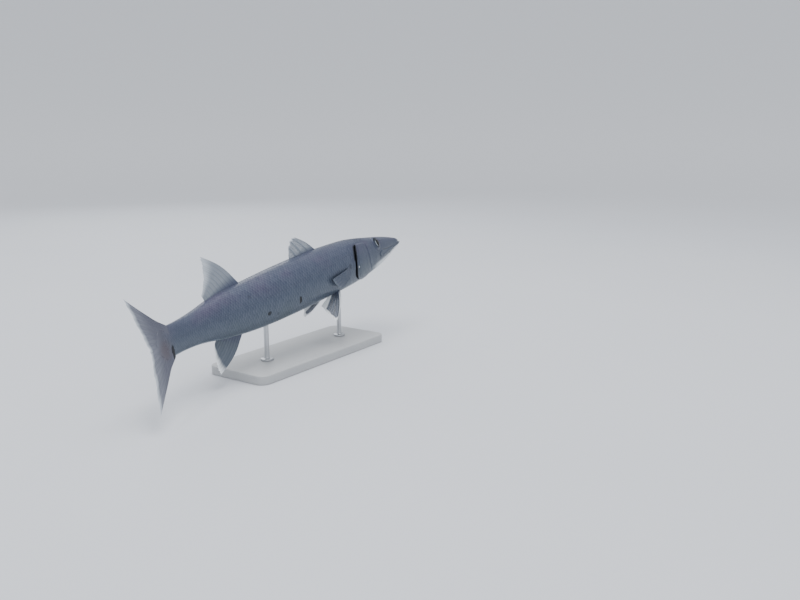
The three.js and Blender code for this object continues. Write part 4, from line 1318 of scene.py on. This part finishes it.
def ray_ridges(across, out, rays, branching):
    """Height of the ridges, 0 to 1: the nearest ray, which forks twice where it branches."""
    offset = across * (rays - 1)
    offset = np.abs(offset - np.round(offset))
    first = 0.2 * smooth(out, 0.38, 0.85) * branching
    second = 0.1 * smooth(out, 0.66, 1.0) * branching
    thin = mix(0.15, 0.075, np.maximum(smooth(out, 0.3, 0.8) * branching, 0.3 * out))
    ridges = 0
    for way in (-1, 1):
        for small_way in (-1, 1):
            ridges = np.maximum(ridges, bump(offset, way * first + small_way * second, thin))
    return ridges


def fin_piece(name, node, surface, material, rays, rows, thick, branching=1.0, notch=0.02,
              ripple=0.6, cells=14):
    """A closed plate over a fin's middle surface. thick is the root's, the web's, a ray's and
    a ray tip's thickness in millimetres."""
    root, web, ridge, tip_ridge = thick
    across, out = np.meshgrid(np.linspace(0, 1, (rays - 1) * cells + 1),
                              np.linspace(0, 1, rows) ** 0.92, indexing="xy")
    forked = branching * smooth(across * (rays - 1), 0.3, 0.8)
    ridges = ray_ridges(across, out, rays, forked)
    between = np.sin(math.pi * across * (rays - 1)) ** 2
    reach = out * (1 - notch * between * smooth(out, 0.5, 1))
    middle = surface(across, reach)
    along_ray, over_rays = np.gradient(middle, axis=0), np.gradient(middle, axis=1)
    normal = unit(np.cross(along_ray, over_rays))
    wave = ripple * MM * out * np.sin(across * rays * 1.9 + out * 3.1) * smooth(across, 0, 0.2)
    thickness = web + ridges * (mix(ridge, tip_ridge, out) - web)
    thickness = mix(thickness, root, (1 - smooth(out, 0, 0.3)) ** 2)
    thickness = thickness * mix(1, 0.4, np.maximum(smooth(out, 0.96, 1), smooth(across, 0.99, 1)))
    points = [middle + normal * (wave + way * thickness / 2 * MM)[..., None] for way in (1, -1)]
    known = np.stack([across, out, ridges], -1)
    mesh = mesh_of(name, np.stack(points), plate_faces(*across.shape), fin=np.stack([known, known]))
    closed_up(mesh)
    add_piece(mesh, material, "fin", node, sharp=50)


def fin_finish(name, web, ray, tip, tip_from=0.8, root=UPPER_COLOUR, root_fade=(0.34, 0.08),
               edge_wide=0.0, clear=0.0):
    """Web and rays in their own tones, the root's colour, a pale tip, a white edge if it has a
    width, and joints across the rays. clear is how far the web lets light through."""
    material, spot = new_material(name, Coat_Weight=0.25, Coat_Roughness=0.2, IOR=1.4)
    across, out, ridge = fact(spot, "fin", three=True)
    cloud = noise(spot, 34, 4)
    tone = mixed((cloud - 0.3) * 0.9, web, tuple(part * WEB_DARK for part in web[:3]) + (1.0,))
    rays = mixed(out.smooth(*root_fade), mixed(ridge * 0.75, tone, ray), root)
    far = out + (cloud - 0.5) * 0.12
    pale = far.smooth(tip_from, 0.99)
    colour = mixed(pale, rays, tip)
    if edge_wide > 0:
        inward = (0.5 - (across - 0.5).math("ABSOLUTE")) / edge_wide
        border = inward.smooth(1.0, 0.75) * out.smooth(0.1, 0.3)
        colour = mixed(border.math("MAXIMUM", out.smooth(0.9, 0.94)), colour, WHITE_MARGIN)
    # The painted shadow line at the tail fin's root runs on over the web.
    feed(material, "Base Color", mixed(tail_root_shadow(spot), smudged(spot, colour), DARK_MARK_AND_SHADE))
    feed(material, "Roughness", 0.42 + (cloud - 0.5) * 0.16)
    if clear > 0:
        feed(material, "Alpha", 1 - (1 - ridge) * out.smooth(0.12, 0.4) * clear)
    joints = (out * 150).math("SINE") * ridge
    emboss(material, joints * 0.4 + noise(spot, 500, 2) * 0.3, 0.15 * MM, 0.5)
    return material


# %% [markdown]
# The fins' places and margins repeat the solids'. A fin on the middle line has a root along
# the back or belly, and a margin that is a curve from its front tip past one bend point to its
# hind tip. The tail fin's lobes spread from the end of the body to a deep fork.

# %% Fins on the middle line
FIN_SINK = 7 * MM
FIRST_DORSAL = {"at": 0.407, "base": 0.106, "bow": 0.004, "hind_bow": 0,
                "margin": [[0.072, 0.05], [0.1, 0.054], [0.112, 0.004]]}
SECOND_DORSAL = {"at": 0.708, "base": 0.122, "bow": 0.009, "hind_bow": 0,
                 "margin": [[0.098, 0.088], [0.098, 0.034], [0.13, 0.002]]}
ANAL = {"at": 0.742, "base": 0.08, "bow": 0.009, "hind_bow": 0.004,
        "margin": [[0.108, 0.065], [0.117, 0.028], [0.1, -0.004]]}
TAIL_TIP = 1.137
TAIL_SPAN = 0.122
TAIL_FORK = 1.083
TAIL_ROOT = 1.0
UPPER_SWELL = 0.002
LOWER_SWELL = 0.006
LOBE_OVERLAP = 0.0014  # how far each lobe runs on past the middle, so that no slit shows
LOBE_SUNK = 0.004  # how far the lobes' root lies inside the body, as a share of its length
LOBE_ROOT = 0.97  # height of the lobes' root, as a share of the body's there
FORK_POWER = 0.9
MARGIN_POWER = 1.25


def curve_through(points, share):
    """A point on the curve that leaves the first point toward the second and ends at the third."""
    start, bend, end = np.array(points, float)
    share = share[..., None]
    return start * (1 - share) ** 2 + bend * 2 * share * (1 - share) + end * share ** 2


def median_fin(shape, up):
    """The middle surface of a fin on the back, where up is 1, or belly."""
    level_at = back_at if up > 0 else belly_at

    def surface(across, out):
        root_at = shape["at"] + shape["base"] * across
        end = curve_through(shape["margin"], across ** MARGIN_POWER)
        reach = mix(root_at, shape["at"] + end[..., 0], out)
        rise = mix(level_at(root_at) - FIN_SINK / BODY_LENGTH, level_at(shape["at"]) + end[..., 1], out)
        bulge = np.sin(math.pi * out) * shape["bow"] * (1 - across)
        hind_bulge = np.sin(math.pi * out) * shape["hind_bow"] * across
        return place(reach - bulge + hind_bulge, 0, up * (rise + bulge) * BODY_LENGTH)

    return surface


def tail_lobe(up):
    """The middle surface of one lobe of the tail fin, from its outer edge to the fork."""
    level_at = back_at if up > 0 else belly_at
    sunk_root = TAIL_ROOT - LOBE_SUNK

    def surface(across, out):
        root_high = level_at(sunk_root) * LOBE_ROOT * (1 - across)
        end_at = mix(TAIL_TIP, TAIL_FORK, across ** FORK_POWER)
        swell = np.sin(math.pi * out) * (1 - across) * (UPPER_SWELL if up > 0 else LOWER_SWELL)
        high = mix(root_high, TAIL_SPAN * (1 - across), out) + swell - LOBE_OVERLAP * across ** 4
        return place(mix(sunk_root, end_at, out) - swell, 0, up * high * BODY_LENGTH)

    return surface


# %% Paired fins
PECTORAL = {"at": 0.328, "slant": 0.004, "length": 0.112, "narrowing": 0.42}
PECTORAL_ROOT = [math.radians(-4), math.radians(-19), -4 * MM]
PECTORAL_TIP = [math.radians(-11), math.radians(-43), 7 * MM]
PELVIC = {"at": 0.383, "base": 0.016, "bow": 0.005, "corner": 0.35}
PELVIC_ROOT = [[0.02, 0.0585], [0.011, 0.061]]
PELVIC_MARGINS = {
    -1: [[0.435, 0.047, 0.107], [0.461, 0.048, 0.127], [0.454, 0.004, 0.083]],
    1: [[0.45, 0.066, 0.084], [0.465, 0.058, 0.1065], [0.454, 0.006, 0.078]],
}


def pectoral(side):
    """The middle surface of a fin folded back on the flank, a little off it at the tip."""
    def surface(across, out):
        reach = PECTORAL["length"] * (1 - PECTORAL["narrowing"] * across ** 1.5)
        root = mix(PECTORAL_ROOT[0], PECTORAL_ROOT[1], across)
        angle = mix(root, mix(PECTORAL_TIP[0], PECTORAL_TIP[1], across), out)
        off = mix(PECTORAL_ROOT[2], PECTORAL_TIP[2], smooth(out, 0, 0.5) * 0.6 + out * 0.4)
        at = PECTORAL["at"] + PECTORAL["slant"] * across + reach * out
        return on_body(at, angle if side > 0 else math.pi - angle, off)

    return surface


def pelvic(side):
    """The middle surface of a fin that spreads down and out from the belly."""
    corner = PELVIC["corner"]
    tips = [through([[0, first], [corner, bend], [1, last]])
            for first, bend, last in zip(*PELVIC_MARGINS[side])]

    def surface(across, out):
        front, hind = PELVIC_ROOT
        root = [PELVIC["at"] + PELVIC["base"] * across, mix(front[0], hind[0], across),
                mix(front[1], hind[1], across) - 0.006]
        along, away, below = [mix(start, tip(across), out) for start, tip in zip(root, tips)]
        bulge = PELVIC["bow"] * np.sin(math.pi * out) * (1 - across)
        return place(along - bulge, side * (away + bulge) * BODY_LENGTH, -below * BODY_LENGTH)

    return surface


# %% Fins into the scene
PALE_TIP = srgb(196, 203, 210)
DORSAL_FIN = fin_finish("first dorsal fin", srgb(140, 148, 158), srgb(112, 121, 133), PALE_TIP, 0.9,
                        clear=0.35)
SOFT_DORSAL_FIN = fin_finish("second dorsal fin", srgb(138, 146, 156), srgb(116, 125, 137), PALE_TIP,
                             0.62, clear=0.2)
ANAL_FIN = fin_finish("anal fin", srgb(86, 95, 106), srgb(72, 81, 94), WHITE_MARGIN, 0.78)
TAIL_FIN = fin_finish("tail fin", TAIL_WEB, srgb(98, 101, 114), PALE_TIP, 0.84,
                      root=TAIL_TONE, root_fade=(0.85, 0.38))
PELVIC_FIN = fin_finish("pelvic fin", srgb(60, 68, 84), srgb(100, 110, 125), WHITE_MARGIN, 0.9,
                        edge_wide=0.2, clear=0.25)
PECTORAL_FIN = fin_finish("pectoral fin", srgb(72, 81, 98), srgb(62, 71, 87), srgb(88, 98, 111),
                          0.9, clear=0.1)
SPINY = [5, 0.45, 2.4, 0.8]
SOFT = [6, 0.45, 1.9, 0.6]
THIN = [3.5, 0.4, 1.5, 0.5]
STRONG = [11, 0.5, 2.2, 0.7]

fin_piece("dorsal_fin_1", "dorsal_fin_first", median_fin(FIRST_DORSAL, 1), DORSAL_FIN, 5, 60, SPINY,
          branching=0, notch=0.07, cells=24)
fin_piece("dorsal_fin_2", "dorsal_fin_second", median_fin(SECOND_DORSAL, 1), SOFT_DORSAL_FIN, 10, 90,
          SOFT)
fin_piece("anal_fin_dressed", "anal_fin", median_fin(ANAL, -1), ANAL_FIN, 10, 80, SOFT)
fin_piece("tail_fin_upper", "tail_fin_upper_lobe", tail_lobe(1), TAIL_FIN, 9, 110, STRONG)
fin_piece("tail_fin_lower", "tail_fin_lower_lobe", tail_lobe(-1), TAIL_FIN, 9, 110, STRONG)
for way, word in ((1, "left"), (-1, "right")):
    fin_piece(f"pectoral_{word}", f"pectoral_fin_{word}", pectoral(way), PECTORAL_FIN, 13, 60, THIN,
              notch=0.014, ripple=0.2)
    fin_piece(f"pelvic_{word}", f"pelvic_fin_{word}", pelvic(way), PELVIC_FIN, 6, 60, THIN,
              cells=20, ripple=0.4)

# %% [markdown]
# The display stand is plain: a flat plate of lacquered wood with rounded corners, and two
# turned steel rods with round feet. The plate is one surface that runs round the outline and,
# as its second number, from the middle of the underside over the rim to the middle of the top.
# A rod is a profile turned round its own axis. It ends inside the belly, just under the skin.

# %% Display stand
BASE_LONG = 400 * MM
BASE_WIDE = 150 * MM
BASE_HIGH = 18 * MM
BASE_CORNER = 20 * MM
BASE_BEVEL = 2 * MM
CORNER_POINTS = 13
ROD_PLACES = {"front": 0.335, "rear": 0.64}
ROD_RADIUS = 5 * MM
ROD_POINTS = 64  # points all round a rod
SHAFT_FROM = 20 * MM  # above the foot's underside
ROD_SUNK = 3.5 * MM
ROD_FOOT = np.array([
    [0, 0], [12.4, 0], [13, 0.5], [13, 3.2], [12.7, 3.8], [12.0, 4], [7.4, 4], [6.2, 4.4],
    [5.35, 5.4], [5, 7],
]) * MM  # radius and height of the profile's lower end


def rim_profile():
    """Steps inward from the outline and heights: under the plate, up its rim and over the top."""
    turn = np.linspace(0, math.pi / 2, 6)
    inward = BASE_BEVEL * (1 - np.sin(turn))
    upward = BASE_BEVEL * (1 - np.cos(turn))
    deep = np.array([BASE_CORNER, 0.6 * BASE_CORNER, 2 * BASE_BEVEL])
    steps = np.concatenate([deep, inward, inward[::-1], deep[::-1]])
    low = np.concatenate([np.zeros(3), upward])
    return steps, np.concatenate([low, BASE_HIGH - low[::-1]])


def display_base():
    """Each ring is the outline moved inward, with its corners' radius made smaller by as much."""
    inward, height = rim_profile()
    quarter = np.linspace(0, math.pi / 2, CORNER_POINTS)
    turns = np.concatenate([quarter + math.pi / 2 * corner for corner in range(4)])
    corner_x = (BASE_LONG / 2 - BASE_CORNER) * np.repeat([1, -1, -1, 1], CORNER_POINTS)
    corner_y = (BASE_WIDE / 2 - BASE_CORNER) * np.repeat([1, 1, -1, -1], CORNER_POINTS)
    radius = (BASE_CORNER - inward)[:, None]
    x, y = corner_x + radius * np.cos(turns), corner_y + radius * np.sin(turns)
    points = np.stack([x, y, np.broadcast_to(height[:, None], x.shape)], -1)
    middle = points[[0, -1]] * [0, 0, 1]
    rings = np.concatenate([middle[:1], points, middle[1:]])
    mesh = mesh_of("display_base", rings, grid_faces(*rings.shape[:2], closed=True))
    closed_up(mesh)
    add_piece(mesh, LACQUER, "stand_base", "stand_base", sharp=40)


def belly_above(spot):
    """Height at which a line straight up from a spot meets the belly."""
    at, angle = np.meshgrid(np.linspace(0.25, 0.75, 1001), np.linspace(-2.4, -0.7, 301), indexing="ij")
    belly = on_body(at, angle)
    away = np.hypot(belly[..., 0] - spot[0], belly[..., 1] - spot[1])
    return belly[np.unravel_index(away.argmin(), away.shape)][2]


def steel_rod(word, at):
    """A foot and a shaft, as one profile turned round the upright through the body's line."""
    spot = place(np.asarray(at), 0, 0)
    top = belly_above(spot) + ROD_SUNK
    long = top - BASE_HIGH
    shaft = np.array([[ROD_RADIUS, high] for high in np.linspace(SHAFT_FROM, long, 8)])
    profile = np.vstack([ROD_FOOT, shaft, [0, long]])
    turn = full_turn(ROD_POINTS)
    radius, height = profile[:, :1], profile[:, 1:] + BASE_HIGH
    x, y = spot[0] + radius * np.cos(turn), spot[1] + radius * np.sin(turn)
    points = np.stack([x, y, np.broadcast_to(height, x.shape)], -1)
    mesh = mesh_of(f"steel_rod_{word}", points, grid_faces(*x.shape, closed=True))
    closed_up(mesh)
    add_piece(mesh, STEEL, "stand_rod", f"stand_rod_{word}", sharp=40)


# %% Finishes of the stand
def lacquer_finish():
    """Pale grey matt lacquer: faint clouds, the grain just felt through it, a fine orange peel."""
    material, spot = new_material("pale matt lacquer", IOR=1.45)
    cloud = noise(spot, 12, 3)
    grain = noise(spot, 60, 4, 0.6, stretch=(0.12, 1.6, 1))
    tone = mixed(cloud * 0.6 + grain * 0.4, srgb(170, 172, 174), srgb(188, 189, 189))
    feed(material, "Base Color", tone)
    feed(material, "Roughness", 0.46 + (noise(spot, 90) - 0.5) * 0.16)
    emboss(material, grain * 0.7 + noise(spot, 1400, 2) * 0.3, 0.2 * MM, 0.35)
    return material


def steel_finish():
    """Satin steel, brushed round the rod in fine rings of changing tone and gloss."""
    material, spot = new_material("brushed steel", Metallic=1.0)
    rings = noise(spot, 40, 5, 0.7, stretch=(0.2, 0.2, 45))
    feed(material, "Base Color", mixed(rings, srgb(168, 171, 174), srgb(206, 208, 210)))
    feed(material, "Roughness", 0.24 + rings * 0.2)
    emboss(material, rings, 0.06 * MM, 0.5)
    return material


LACQUER = lacquer_finish()
STEEL = steel_finish()
display_base()
for word, at in ROD_PLACES.items():
    steel_rod(word, at)

# %% [markdown]
# A plain studio: a pale floor that curves up far behind the fish, all round, so that no edge
# shows, and that is painted paler outward, where less light reaches it. A pale sky, one large
# soft light from above as under water, and weak ones from the sides light it. The camera stands
# where the fish's outline fits the photograph's: behind its right side, looking 12 degrees down.

# %% Studio
CAMERA_PLACE = (-1.2046, -1.0498, 0.4591)
CAMERA_TURN = (math.radians(78), 0, math.radians(-56.38))
LENS = 36 * 770 / 800  # the fitted focal length in pixels, on a 36 mm sensor 800 pixels wide
FLOOR_RADIUS = 5
COVE_RADIUS = 16
COVE_TURN = math.radians(50)
FLOOR_TONES = [srgb(208, 211, 216), srgb(214, 216, 220)]
FLOOR_FAR = srgb(250, 251, 253)
FLOOR_FADE = [2, 9]  # metres from the middle between which the paint gets paler
# Each light's place, the point it faces, its size, its watts and its colour
LIGHTS = {
    "light_above": [(-0.4, -0.2, 4.6), (0, 0, 0), 4.0, 250, (0.97, 0.98, 1.0)],
    "light_side": [(-2.2, -2.6, 1.6), (0, 0, 0.15), 1.8, 18, (1.0, 0.98, 0.96)],
    "light_behind": [(1.8, 2.6, 1.9), (0, 0, 0.15), 1.8, 20, (0.94, 0.97, 1.0)],
}
SKY_COLOUR = srgb(206, 210, 217)
SKY_STRENGTH = 1.12


def studio_floor():
    """A round floor whose rim curves up, as rings from the middle outward."""
    turns = full_turn(96)
    bend = np.linspace(0, COVE_TURN, 24)
    rings = [[radius, 0] for radius in (0.02, 0.6, 1.5, 3)]
    rings += [[FLOOR_RADIUS + COVE_RADIUS * math.sin(b), COVE_RADIUS * (1 - math.cos(b))] for b in bend]
    points = np.array([[r * math.cos(a), r * math.sin(a), z] for r, z in rings for a in turns])
    mesh = mesh_of("studio_floor", points, grid_faces(len(rings), len(turns), closed=True)[:, ::-1])
    mesh.shade_smooth()
    material, spot = new_material("floor paint", Roughness=0.75)
    tone = mixed(noise(spot, 1.5, 2), *FLOOR_TONES)
    feed(material, "Base Color", mixed(spot.vector("LENGTH").smooth(*FLOOR_FADE), tone, FLOOR_FAR))
    mesh.materials.append(material)
    floor = bpy.data.objects.new("studio_floor", mesh)
    bpy.context.scene.collection.objects.link(floor)


def soft_light(name, place_at, target, size, power, colour):
    """A square light that faces a point."""
    light = bpy.data.lights.new(name, "AREA")
    light.size = size
    light.energy = power
    light.color = colour
    lamp = bpy.data.objects.new(name, light)
    lamp.location = place_at
    lamp.rotation_euler = (Vector(target) - Vector(place_at)).to_track_quat("-Z", "Y").to_euler()
    bpy.context.scene.collection.objects.link(lamp)


studio_floor()
for name, values in LIGHTS.items():
    soft_light(name, *values)

world = bpy.data.worlds.new("studio sky")
world.use_nodes = True
sky = world.node_tree.nodes["Background"]
sky.inputs["Color"].default_value = SKY_COLOUR
sky.inputs["Strength"].default_value = SKY_STRENGTH
bpy.context.scene.world = world

camera = bpy.data.cameras.new("photo camera")
camera.lens = LENS
camera.sensor_width = 36
camera_object = bpy.data.objects.new("photo_camera", camera)
camera_object.location = CAMERA_PLACE
camera_object.rotation_euler = CAMERA_TURN
bpy.context.scene.collection.objects.link(camera_object)
bpy.context.scene.camera = camera_object
